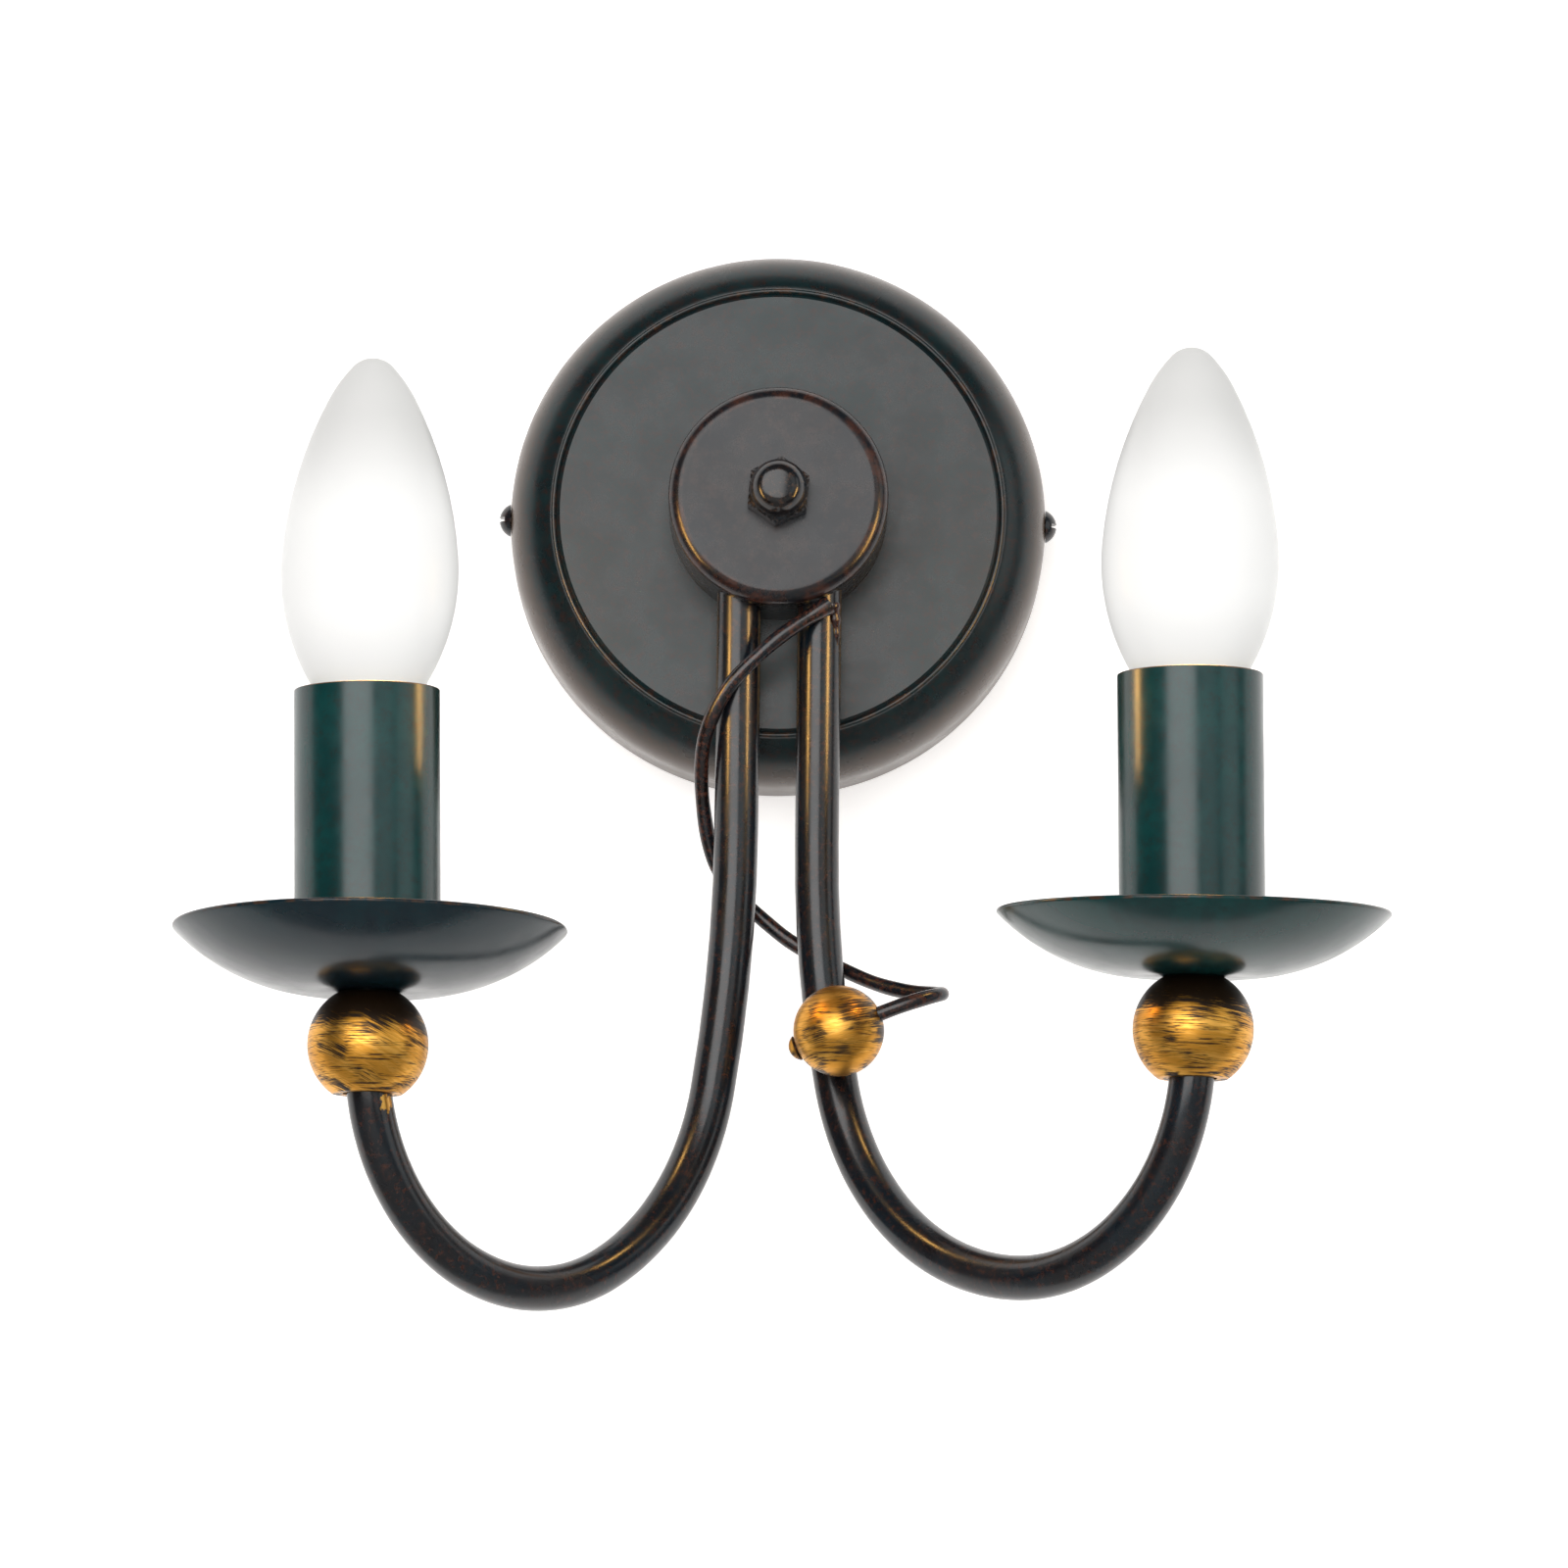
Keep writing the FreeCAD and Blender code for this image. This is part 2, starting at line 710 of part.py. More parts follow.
# ---- wires inside --------------------------------------------------------------------
def lamp_wire(arm, outer, pole_x):
    """One insulated wire from its pole, through the hub and the arm, to its lampholder."""
    offset = wire_spread if outer else -wire_spread
    level = wire_hole_height + (1.0 if outer else -1.0)
    start = arm.place(offset, 0)
    x, depth = start.x, -start.y
    block_mouth = block_width / 2
    into_block = at(pole_x, block_centre_depth, block_mouth - 3.5)
    above_block = at(pole_x, block_centre_depth, level)
    before_block = at(pole_x, block_centre_depth + 5.5, level)
    behind_front = at(x, canopy_depth - 5.0, level)
    over_leg = at(x, depth, level)
    leg_mouth = at(x, depth, leg_start_z + leg_tail - 2)
    route = [into_block, above_block, before_block, behind_front, over_leg, leg_mouth]
    edges = rounded_route(route)[0]
    arm_edges = arm.edges(offset, leg_tail - 2, tube_top - 2)[0]
    last = arm_edges[-1].valueAt(arm_edges[-1].LastParameter)
    spread = terminal_offset - wire_spread
    sideways = arm.place(-spread if outer else spread, 0) - arm.place(0, 0)
    knee = last + UP * 3
    knee_out = knee + sideways + UP * 5
    finish = last + sideways
    finish.z = arm.centre.z + carrier_foot + carrier_height / 2
    upper = rounded_route([last, knee, knee_out, finish])[0]
    return sweep(edges + arm_edges + upper, wire_radius)


def make_earth_wire():
    """Wire from the earth pole, over the bracket, to the earth screw."""
    x = block_pitch
    mouth = block_width / 2
    seat_depth = bracket_sheet + wire_radius + 0.1
    touch = earth_screw_place() - earth_screw_radius - wire_radius - 0.1
    run = touch - x
    route = [at(x, block_centre_depth, mouth - 3.5),
             at(x, block_centre_depth, mouth + 5.5),
             at(x + 0.26 * run, block_centre_depth, mouth + 6.5),
             at(x + 0.52 * run, seat_depth + 1.5, mouth + 1.5),
             at(x + 0.77 * run, seat_depth, mouth - 3.0),
             at(touch, seat_depth, 1.0),
             at(touch, seat_depth, -3.0)]
    return sweep(rounded_route(route)[0], wire_radius)


# ---- candle pieces, about the ball's centre ------------------------------------------
def make_candle_ball(arm):
    """Turned ball, cut flat at top and bottom and bored for the tube.

    Below the tube's straight end the bore is wider, to clear the bend.
    """
    bore = tube_radius + hole_fit
    last_bend = arm.bends[-1][0]
    bent = max(ball_bottom - arm.rise, 0.0)
    drift = last_bend - math.sqrt(last_bend ** 2 - bent ** 2)
    mouth = bore + drift + hole_fit
    top_radius = math.sqrt(ball_radius ** 2 - ball_top ** 2)
    bottom_radius = math.sqrt(ball_radius ** 2 - ball_bottom ** 2)
    return (Outline(mouth, -ball_bottom).line(bottom_radius, -ball_bottom)
            .arc(top_radius, ball_top, ball_radius, 0)
            .line(bore, ball_top)
            .line(bore, -arm.rise)
            .line(mouth, -arm.rise).turn())


def dish_arc():
    """Radius of the dish's outer curve, from its flat floor to its rim."""
    run = dish_radius - dish_floor_radius
    return (run ** 2 + dish_height ** 2) / (2 * dish_height)


def dish_inside(radius):
    """Height of the dish's upper face at a radius."""
    curve = dish_arc() - dish_sheet
    beyond = max(radius - dish_floor_radius, 0.0)
    return dish_floor + curve - math.sqrt(curve ** 2 - beyond ** 2)


def make_dish():
    """Shallow spun dish: flat floor, one curve up to a rounded rim."""
    outer = dish_arc()
    inner = outer - dish_sheet
    middle = outer - dish_sheet / 2
    steep = math.asin((dish_radius - dish_floor_radius) / outer)
    bore = tube_radius + hole_fit

    def on_curve(radius, angle, beyond=0.0):
        """Point of the dish's section on a curve about its centre."""
        return (dish_floor_radius + radius * math.sin(angle) + beyond * math.cos(angle),
                dish_seat + outer - radius * math.cos(angle) + beyond * math.sin(angle))

    return (Outline(bore, dish_seat).line(dish_floor_radius, dish_seat)
            .arc(*on_curve(outer, steep), *on_curve(outer, steep / 2))
            .arc(*on_curve(inner, steep), *on_curve(middle, steep, dish_sheet / 2))
            .arc(*on_curve(inner, 0), *on_curve(inner, steep / 2))
            .line(bore, dish_floor).turn())


def make_sleeve():
    """Plain candle sleeve with a softened top edge."""
    inner = sleeve_radius - sleeve_wall
    sleeve_foot = dish_inside(sleeve_radius) + sleeve_lift_gap
    top = sleeve_foot + sleeve_length
    edge = sleeve_wall / 2
    return (Outline(inner, sleeve_foot).line(sleeve_radius, sleeve_foot)
            .line(sleeve_radius, top - edge)
            .arc(inner, top - edge, sleeve_radius - edge, top)
            .turn())


def make_holder_base():
    """Moulded cup that screws on the tube and takes the contact carrier."""
    bore = tube_radius + hole_fit
    inner = holder_radius - holder_wall
    floor = holder_foot + holder_floor
    return (Outline(bore, holder_foot).line(holder_radius - 1.5, holder_foot)
            .line(holder_radius, holder_foot + 1.5)
            .line(holder_radius, carrier_top)
            .line(inner, carrier_top)
            .line(inner, floor)
            .line(bore, floor).turn())


def wire_places(arm):
    """Where the two wires rise through the carrier, in the arm's plane."""
    out = (arm.place(1, 0) - arm.place(0, 0)) * terminal_offset
    return [(out.x * side, out.y * side) for side in (-1, 1)]


def screw_places(arm):
    """Where the two terminal screws stand, across from the wires."""
    out = (arm.place(1, 0) - arm.place(0, 0)) * terminal_offset
    return [(-out.y * side, out.x * side) for side in (-1, 1)]


def make_carrier(arm):
    """Ceramic disc with the wire holes and the screw seats."""
    radius = holder_radius - holder_wall - carrier_clearance
    body = disc(radius, carrier_height, carrier_foot)
    for x, y in wire_places(arm):
        body = body.cut(disc(wire_radius + wire_end_gap, carrier_height, carrier_foot, x, y))
    seat = carrier_top - holder_screw_length
    for x, y in screw_places(arm):
        body = body.cut(disc(holder_screw_radius + hole_fit, holder_screw_length, seat, x, y))
    return body


def make_contact():
    """Brass tongue under the bulb: foot, knee and raised tip."""
    half = contact_width / 2
    under = contact_lift - contact_thickness
    over = contact_knee + contact_lean
    points = [(-contact_foot, 0), (contact_knee, 0), (over, contact_lift),
              (-contact_tip, contact_lift), (-contact_tip, under),
              (over - 1.4 * contact_thickness, under),
              (contact_knee - 0.7 * contact_thickness, contact_thickness),
              (-contact_foot, contact_thickness)]
    corners = [FreeCAD.Vector(x, -half, carrier_top + z) for x, z in points]
    face = Part.Face(Part.makePolygon(corners + corners[:1]))
    return face.extrude(FreeCAD.Vector(0, contact_width, 0))


def make_screw_shell():
    """Brass sleeve that takes the bulb's cap, with a turned-in foot."""
    inner = cap_radius + cap_fit
    outer = inner + shell_sheet
    top = shell_foot + shell_height
    foot_hole = contact_width / 2 + 3.6
    return (Outline(foot_hole, shell_foot).line(outer, shell_foot)
            .line(outer, top).line(inner, top)
            .line(inner, shell_foot + shell_sheet).line(foot_hole, shell_foot + shell_sheet).turn())


def make_skirt():
    """Moulded collar round the screw shell, seated on the base."""
    inner = cap_radius + cap_fit + shell_sheet + hole_fit
    foot = carrier_top
    top = foot + skirt_height
    recess = holder_radius - holder_wall
    return (Outline(recess, foot).line(holder_radius, foot)
            .line(holder_radius, top - 1.2).line(holder_radius - 1.2, top)
            .line(bulb_neck_radius + 0.5, top)
            .line(bulb_neck_radius + 0.5, shell_foot + shell_height)
            .line(inner, shell_foot + shell_height)
            .line(inner, shell_foot + 3.0).line(recess, shell_foot + 1.5).turn())


def make_holder_screws(arm):
    """Two slotted terminal screws in the carrier."""
    foot = carrier_top - holder_screw_length
    height = holder_screw_length - 0.5
    screws = []
    for x, y in screw_places(arm):
        screw = disc(holder_screw_radius, height, foot, x, y)
        corner = FreeCAD.Vector(x - holder_screw_radius, y - small_slot / 2, foot + height - 0.6)
        slot = Part.makeBox(2 * holder_screw_radius, small_slot, 1, corner)
        screws.append(screw.cut(slot))
    return Part.makeCompound(screws)


def neck_bend():
    """Inward bend that brings the glass outline upright at the neck's radius."""
    radius = 0.0
    heading = 0.0
    for bend, degrees in zip(bulb_bend_radii, bulb_bend_degrees):
        ahead = heading + math.radians(degrees)
        radius += bend * (math.sin(ahead) - math.sin(heading))
        heading = ahead
    size = (radius - bulb_neck_radius) / (1 - math.sin(heading))
    return -size, math.degrees(heading) - 90


def glass_bends():
    """Radius and turn of each arc of the glass outline, from the tip to the neck."""
    return list(zip(bulb_bend_radii, bulb_bend_degrees)) + [neck_bend()]


def bulb_tip():
    """Height of the glass tip, which stands on its neck and its bends."""
    height = glass_foot + bulb_neck_length
    heading = 0.0
    for bend, degrees in glass_bends():
        ahead = heading + math.copysign(math.radians(degrees), bend)
        height += bend * (math.cos(heading) - math.cos(ahead))
        heading = ahead
    return height


def bulb_marks(inset):
    """Points down the glass outline, a middle and an end for each of its arcs."""
    radius = 0.0
    height = bulb_tip() - inset
    heading = 0.0
    marks = [(radius, height)]
    for bend, degrees in glass_bends():
        size = bend - inset
        turn = math.copysign(math.radians(degrees), bend)
        for angle in (heading + turn / 2, heading + turn):
            marks.append((radius + size * (math.sin(angle) - math.sin(heading)),
                          height - size * (math.cos(heading) - math.cos(angle))))
        heading += turn
        radius, height = marks[-1]
    return marks


def make_bulb_glass():
    """Frosted glass envelope of even thickness, open at its neck."""
    outer = bulb_marks(0.0)
    inner = bulb_marks(bulb_glass)
    outline = Outline(*outer[0])
    for middle, end in zip(outer[1::2], outer[2::2]):
        outline.arc(*end, *middle)
    outline.line(bulb_neck_radius, glass_foot).line(bulb_neck_radius - bulb_glass, glass_foot)
    inner.reverse()
    outline.line(*inner[0])
    for middle, end in zip(inner[1::2], inner[2::2]):
        outline.arc(*end, *middle)
    return outline.turn()


def make_bulb_cap():
    """Nickelled screw cap round the neck, closed by an insulator ring."""
    top = cap_foot + cap_length
    bore = cap_radius - cap_sheet
    flare = bulb_neck_radius + hole_fit
    return (Outline(tip_contact_radius + 0.9, cap_foot).line(bore - 0.8, cap_foot)
            .line(cap_radius, cap_foot + 1.6)
            .line(cap_radius, top)
            .line(flare + cap_sheet, glass_foot + 0.2)
            .line(flare + cap_sheet, glass_foot + cap_collar)
            .line(flare, glass_foot + cap_collar)
            .line(flare, glass_foot)
            .line(bore, top - 0.2)
            .line(bore, cap_foot + 1.9)
            .line(bore - 0.9, cap_foot + cap_sheet + 0.1)
            .line(tip_contact_radius + 0.9, cap_foot + cap_sheet + 0.1).turn())


def make_insulator():
    """Black glass ring between the cap and its end contact."""
    foot = bulb_foot + tip_contact_height
    top = cap_foot + 1.2
    wide = tip_contact_radius + 0.9 - hole_fit
    return (Outline(0, foot).line(tip_contact_radius, foot)
            .line(wide + 1.4, cap_foot - hole_fit).line(wide, cap_foot - hole_fit)
            .line(wide, top).line(0, top).turn())


def make_tip_contact():
    """Solder button under the bulb."""
    top = bulb_foot + tip_contact_height
    shoulder = (0.75 * tip_contact_radius, bulb_foot + 0.35)
    return Outline(0, bulb_foot).arc(tip_contact_radius, top, *shoulder).line(0, top).turn()


def make_stem():
    """Flared glass foot and rod that carry the filament."""
    foot = glass_foot
    outer = bulb_neck_radius - bulb_glass - hole_fit
    waist = foot + 6.0
    top = foot + stem_height
    return (Outline(0, foot).line(outer, foot).line(outer, foot + 1.0)
            .line(stem_radius, waist).line(stem_radius * 0.8, top - 2.0)
            .line(stem_radius * 0.4, top).line(0, top).turn())


def make_filament():
    """Lead wires standing on the stem, bridged by the filament."""
    ends = filament_span / 2
    foot = glass_foot + stem_height
    top = foot + filament_rise
    half = [(0.25, foot - 0.6), (0.35, foot + 4), (1.0, top - 2), (0.6, top)]
    route = [FreeCAD.Vector(-ends * share, 0, height) for share, height in half]
    route.append(FreeCAD.Vector(0, 0, top - 2.5))
    route += [FreeCAD.Vector(ends * share, 0, height) for share, height in reversed(half)]
    wire = sweep(rounded_route(route)[0], filament_radius)
    stem = make_stem()
    return wire.cut(stem)


# ---- curled rod ----------------------------------------------------------------------
def tendril_route():
    """Route of the curled rod round both legs, chosen by eye against the legs."""
    clear = tube_radius + rod_radius + rod_gap
    ball = small_ball_centre()
    across = rod_line()

    def by(arm, sideways, outward, z):
        """Point beside a leg: to its right, and in front of its middle."""
        centre = arm.along_leg(z)[0]
        return FreeCAD.Vector(centre.x + sideways, centre.y - outward, z)

    return [by(right_arm, 1.8, clear - 0.2, -22.5),
            by(right_arm, -1.1, clear + 0.5, -24.2),
            by(right_arm, -8.4, clear + 1.0, -29.2),
            by(left_arm, -0.2, clear + 0.7, -37.0),
            by(left_arm, -5.4, clear - 2.2, -45.5),
            by(left_arm, -7.9, 0.0, -56.0),
            by(left_arm, -6.9, -clear + 0.9, -67.5),
            by(left_arm, -3.3, -clear - 0.8, -76.0),
            by(left_arm, 3.2, -clear - 1.6, -83.8),
            by(right_arm, -5.4, -clear - 1.4, -90.5),
            by(right_arm, 1.0, -clear - 0.9, -94.5),
            by(right_arm, 8.4, -clear + 2.3, -98.3),
            by(right_arm, 16.0, 2.6, -101.2),
            by(right_arm, 22.2, 9.0, -103.0),
            by(right_arm, 20.4, 14.0, -104.2),
            ball + across * (small_ball_radius + rod_hairpin),
            ball - across * (small_ball_radius + rod_head_gap + rod_head_height / 2)]


def small_ball_centre():
    """The small ball rests against the front of the right tube, a little to its right."""
    centre, down = right_arm.along_leg(small_ball_z)
    turn = math.radians(small_ball_turn)
    heading = FreeCAD.Vector(math.sin(turn), -math.cos(turn), 0)
    square = (heading - down * heading.dot(down)).normalize()
    return centre + square * (small_ball_radius + tube_radius + rod_gap)


def rod_line():
    """Direction of the rod through its ball, from its end back to the hairpin."""
    tilt = math.radians(small_ball_tilt)
    lean = math.radians(small_ball_lean)
    return FreeCAD.Vector(math.cos(tilt), -math.tan(lean), math.sin(tilt)).normalize()


def make_tendril():
    """Bent rod, welded under the hub and upset over its ball."""
    edges, radii = rounded_route(tendril_route())
    print("curled rod: least bend radius %.1f mm" % min(radii))
    rod = sweep(edges, rod_radius)
    start = tendril_route()[0]
    weld = Part.makeSphere(weld_radius, start)
    strip_top = start + FreeCAD.Vector(1.2, 1.6, 0)
    strip = Part.makeCone(weld_radius * 0.75, weld_radius * 0.3, weld_length, strip_top, -UP)
    ball = small_ball_centre()
    across = rod_line()
    head_foot = ball - across * (small_ball_radius + rod_head_gap)
    head = dome(rod_head_radius, rod_head_height)
    head.Placement = FreeCAD.Placement(head_foot, FreeCAD.Rotation(UP, -across))
    body = rod.fuse([weld, strip, head])
    arm_clear = Part.makeCylinder(tube_radius + hole_fit, 40, at(right_leg_x, leg_depth, 0), -UP)
    hub_clear = on_wall(disc(hub_radius + hole_fit, hub_length + 2 * weld_radius, canopy_depth))
    body = body.cut(arm_clear).cut(hub_clear)
    return max(body.Solids, key=lambda solid: solid.Volume)


def make_small_ball():
    """Ball bored through for the rod."""
    ball = Part.makeSphere(small_ball_radius, small_ball_centre())
    across = rod_line()
    start = small_ball_centre() - across * 2 * small_ball_radius
    return ball.cut(Part.makeCylinder(rod_radius + hole_fit, 4 * small_ball_radius, start, across))


# ---- build ---------------------------------------------------------------------------
os.makedirs("parts", exist_ok=True)

left_arm = Arm(-1, left_leg_x, left_leg_length, left_bends, left_rise)
right_arm = Arm(1, right_leg_x, right_leg_length, right_bends, right_rise)
arms = (left_arm, right_arm)

export("wall_bracket", make_bracket())
export("side_screws", *make_side_screws())
export("canopy", make_canopy(side_screw_holes()))
export("hub_cup", make_hub())
make_stud_set()
export("cap_nut", make_cap_nut())
export("earth_screw", make_earth_screw())
export("earth_wire", make_earth_wire())
export("terminal_block", make_terminal_block())
export("terminal_barrels", *make_barrels())
export("clamp_screws", *make_clamp_screws())
export("block_screws", *make_block_screws())
export("wire_grommets", *make_grommets())
export("curled_rod", make_tendril())
export("rod_ball", make_small_ball())

same_both_sides = {
    "drip_dish": make_dish(),
    "dish_nut": hex_nut(dish_nut_across_flats, dish_nut_height, tube_radius + hole_fit, dish_floor),
    "candle_sleeve": make_sleeve(),
    "holder_base": make_holder_base(),
    "centre_contact": make_contact(),
    "screw_shell": make_screw_shell(),
    "holder_skirt": make_skirt(),
    "bulb_glass": make_bulb_glass(),
    "bulb_cap": make_bulb_cap(),
    "bulb_insulator": make_insulator(),
    "bulb_contact": make_tip_contact(),
    "bulb_stem": make_stem(),
    "bulb_filament": make_filament(),
}
for arm, name in ((left_arm, "left"), (right_arm, "right")):
    export("arm_" + name, arm.tube())
    export("candle_ball_" + name, arm.rise_to(make_candle_ball(arm)))
    for piece, shape in same_both_sides.items():
        export(piece + "_" + name, arm.rise_to(shape))
    export("contact_carrier_" + name, arm.rise_to(make_carrier(arm)))
    export("holder_screws_" + name, arm.rise_to(make_holder_screws(arm)))
    beside = arm.side * (wire_radius + wire_end_gap)
    export("live_wire_" + name, lamp_wire(arm, True, -block_pitch + beside))
    export("neutral_wire_" + name, lamp_wire(arm, False, beside))
    print("candle axis", name, arm.centre)
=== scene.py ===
"""Looks of a double arm wall sconce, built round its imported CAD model.

The row frame is in metres: +Z is up, the wall is the plane Y = 0, and the sconce
stands out from it towards -Y. The sizes below are in millimetres, as on a
workshop drawing, and become metres where a mesh is made. A "depth" is the
distance from the wall.
"""
from __future__ import annotations

import json
import logging
import math
from dataclasses import dataclass, field
from enum import Enum
from typing import Callable, Sequence

import bmesh
import bpy
from mathutils import Matrix, Vector

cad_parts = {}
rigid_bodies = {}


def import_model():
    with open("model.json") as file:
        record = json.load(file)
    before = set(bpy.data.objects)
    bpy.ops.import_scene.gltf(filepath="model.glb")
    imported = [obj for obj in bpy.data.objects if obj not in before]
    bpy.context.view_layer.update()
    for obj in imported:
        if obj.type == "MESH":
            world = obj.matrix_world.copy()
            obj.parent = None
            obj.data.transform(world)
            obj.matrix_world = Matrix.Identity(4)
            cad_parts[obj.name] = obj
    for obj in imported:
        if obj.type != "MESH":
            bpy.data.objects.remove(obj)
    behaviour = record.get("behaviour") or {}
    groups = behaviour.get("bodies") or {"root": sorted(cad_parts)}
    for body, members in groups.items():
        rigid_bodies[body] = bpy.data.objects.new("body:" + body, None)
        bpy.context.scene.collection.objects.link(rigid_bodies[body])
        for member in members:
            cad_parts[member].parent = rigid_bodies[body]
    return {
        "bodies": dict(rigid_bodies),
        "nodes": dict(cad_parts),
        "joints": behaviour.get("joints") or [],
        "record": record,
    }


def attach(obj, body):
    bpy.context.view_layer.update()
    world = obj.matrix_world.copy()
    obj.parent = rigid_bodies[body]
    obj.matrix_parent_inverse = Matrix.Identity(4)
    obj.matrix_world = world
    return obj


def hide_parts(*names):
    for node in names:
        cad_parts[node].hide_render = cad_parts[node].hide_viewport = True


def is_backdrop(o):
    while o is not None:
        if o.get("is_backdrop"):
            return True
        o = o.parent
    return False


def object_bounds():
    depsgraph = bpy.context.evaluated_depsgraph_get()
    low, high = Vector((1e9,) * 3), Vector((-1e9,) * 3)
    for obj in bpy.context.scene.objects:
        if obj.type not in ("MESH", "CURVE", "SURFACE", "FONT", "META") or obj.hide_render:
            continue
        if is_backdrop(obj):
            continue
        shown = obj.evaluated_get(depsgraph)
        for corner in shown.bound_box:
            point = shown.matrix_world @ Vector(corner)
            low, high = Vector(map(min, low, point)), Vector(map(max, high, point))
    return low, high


log = logging.getLogger("wall_sconce")

MM = 0.001
ON_AXIS = 1e-6  # a smaller radius, in millimetres, is a point of the axis
MERGE = 1e-7  # closer points, in metres, are one point
BEND_STEP = 2.5  # most degrees between two points of a tube's bend
GLASS_STEP = 3.0  # the same for the bulb's glass
FIXTURE = "fixture"  # the CAD body that hangs on the wall
RUB = "rub"  # the attribute that says how sharp an edge is at each point
Colour = tuple[float, float, float]
Place = tuple[float, float, float]
Pair = tuple[float, float]
Node = bpy.types.Node
Socket = bpy.types.NodeSocket
Piece = bpy.types.Object
Material = bpy.types.Material


class Side(Enum):
    """The two arms, with the sign of their X."""

    LEFT = ("left", -1)
    RIGHT = ("right", 1)

    @property
    def word(self) -> str:
        """Ending of this side's node names."""
        return self.value[0]

    @property
    def sign(self) -> int:
        """Sign of X on this side."""
        return self.value[1]


# ---- node trees -------------------------------------------------------------------
class Tree:
    """Adds nodes to one shader tree and joins them in few words."""

    def __init__(self, tree: bpy.types.NodeTree) -> None:
        """Keep the tree that the nodes go in."""
        self.tree = tree

    def add(self, kind: str, **settings: object) -> Node:
        """Add a node.

        Args:
            kind: the node's type, without its ShaderNode prefix.
            **settings: properties to set on it.

        Returns:
            The new node.
        """
        node = self.tree.nodes.new("ShaderNode" + kind)
        for key, value in settings.items():
            setattr(node, key, value)
        return node

    def feed(self, socket: Socket, value: object) -> None:
        """Join an output to a socket, or set the socket's own value.

        Args:
            socket: the input to fill.
            value: an output socket, a number, a vector or a colour.
        """
        if isinstance(value, Socket):
            self.tree.links.new(value, socket)
        elif socket.type == "RGBA":
            socket.default_value = (*value[:3], 1.0)
        else:
            socket.default_value = value

    def fill(self, node: Node, **values: object) -> None:
        """Feed named inputs of a node.

        Args:
            node: the node.
            **values: value or output for each input, with _ for a blank in its name.
        """
        for name, value in values.items():
            self.feed(node.inputs[name.replace("_", " ")], value)

    def math(self, operation: str, first: object, second: object = 0.0) -> Socket:
        """Sum, product or other arithmetic of two values.

        Args:
            operation: what is done with them, as the Math node calls it.
            first: number or output.
            second: number or output.

        Returns:
            The result's output.
        """
        node = self.add("Math", operation=operation)
        self.feed(node.inputs[0], first)
        self.feed(node.inputs[1], second)
        return node.outputs[0]

    def weigh(self, first: Socket, second: Socket, share: float) -> Socket:
        """Sum of the second value times its share and the first times the rest."""
        rest = self.math("MULTIPLY", first, 1 - share)
        return self.math("ADD", rest, self.math("MULTIPLY", second, share))

    def blend(self, share: object, first: object, second: object) -> Socket:
        """Colour between two colours.

        Args:
            share: 0 gives the first colour and 1 the second.
            first: colour or colour output.
            second: colour or colour output.

        Returns:
            The mixed colour's output.
        """
        node = self.add("Mix", data_type="RGBA")
        for index, value in zip((0, 6, 7), (share, first, second)):
            self.feed(node.inputs[index], value)
        return node.outputs[2]

    def mix(self, share: object, first: object, second: object) -> Socket:
        """Value between two values.

        Args:
            share: 0 gives the first value and 1 the second.
            first: number or output.
            second: number or output.

        Returns:
            The mixed value's output.
        """
        node = self.add("Mix", data_type="FLOAT")
        for index, value in zip((0, 2, 3), (share, first, second)):
            self.feed(node.inputs[index], value)
        return node.outputs[0]

    def noise(self, vector: object, scale: object, detail: float = 3.0,
              lumps: float = 0.55) -> Socket:
        """Cloudy value from 0 to 1.

        Args:
            vector: place on the surface.
            scale: clouds in one metre.
            detail: how many finer layers lie on the first.
            lumps: strength of the finer layers.

        Returns:
            The value's output.
        """
        node = self.add("TexNoise")
        self.fill(node, Vector=vector, Scale=scale, Detail=detail, Roughness=lumps)
        return node.outputs[0]

    def stretch(self, vector: object, along: object, across: object) -> Socket:
        """Scale a place, evenly in X and Y and by its own amount in Z.

        Args:
            vector: place on the surface.
            along: scale in X and Y.
            across: scale in Z.

        Returns:
            The scaled place's output.
        """
        sizes = self.add("CombineXYZ")
        for socket, size in zip(sizes.inputs, (along, along, across)):
            self.feed(socket, size)
        node = self.add("VectorMath", operation="MULTIPLY")
        self.feed(node.inputs[0], vector)
        self.feed(node.inputs[1], sizes.outputs[0])
        return node.outputs[0]

    def remap(self, value: object, start: object, end: object, low: object = 0.0,
              high: object = 1.0) -> Socket:
        """Smooth step of a value from one range to another.

        Args:
            value: the value to read.
            start: value that gives low.
            end: value that gives high.
            low: result at and below the start.
            high: result at and above the end.

        Returns:
            The result's output.
        """
        node = self.add("MapRange", interpolation_type="SMOOTHSTEP")
        for socket, amount in zip(node.inputs, (value, start, end, low, high)):
            self.feed(socket, amount)
        return node.outputs[0]

    def bump(self, height: object, strength: float, depth: float) -> Socket:
        """Normal of a surface with fine relief.

        Args:
            height: relief from 0 to 1.
            strength: share of the relief that shows.
            depth: relief in millimetres.

        Returns:
            The normal's output.
        """
        node = self.add("Bump")
        self.fill(node, Strength=strength, Distance=depth * MM, Height=height)
        return node.outputs[0]

    def place(self) -> Socket:
        """Place on the piece, in its own frame, in metres."""
        return self.add("TexCoord").outputs["Object"]

    def height(self, place: Socket) -> Socket:
        """Height of a place above the piece's own origin.

        Args:
            place: place on the piece.

        Returns:
            The height's output, in metres.
        """
        parts = self.add("SeparateXYZ")
        self.feed(parts.inputs[0], place)
        return parts.outputs[2]


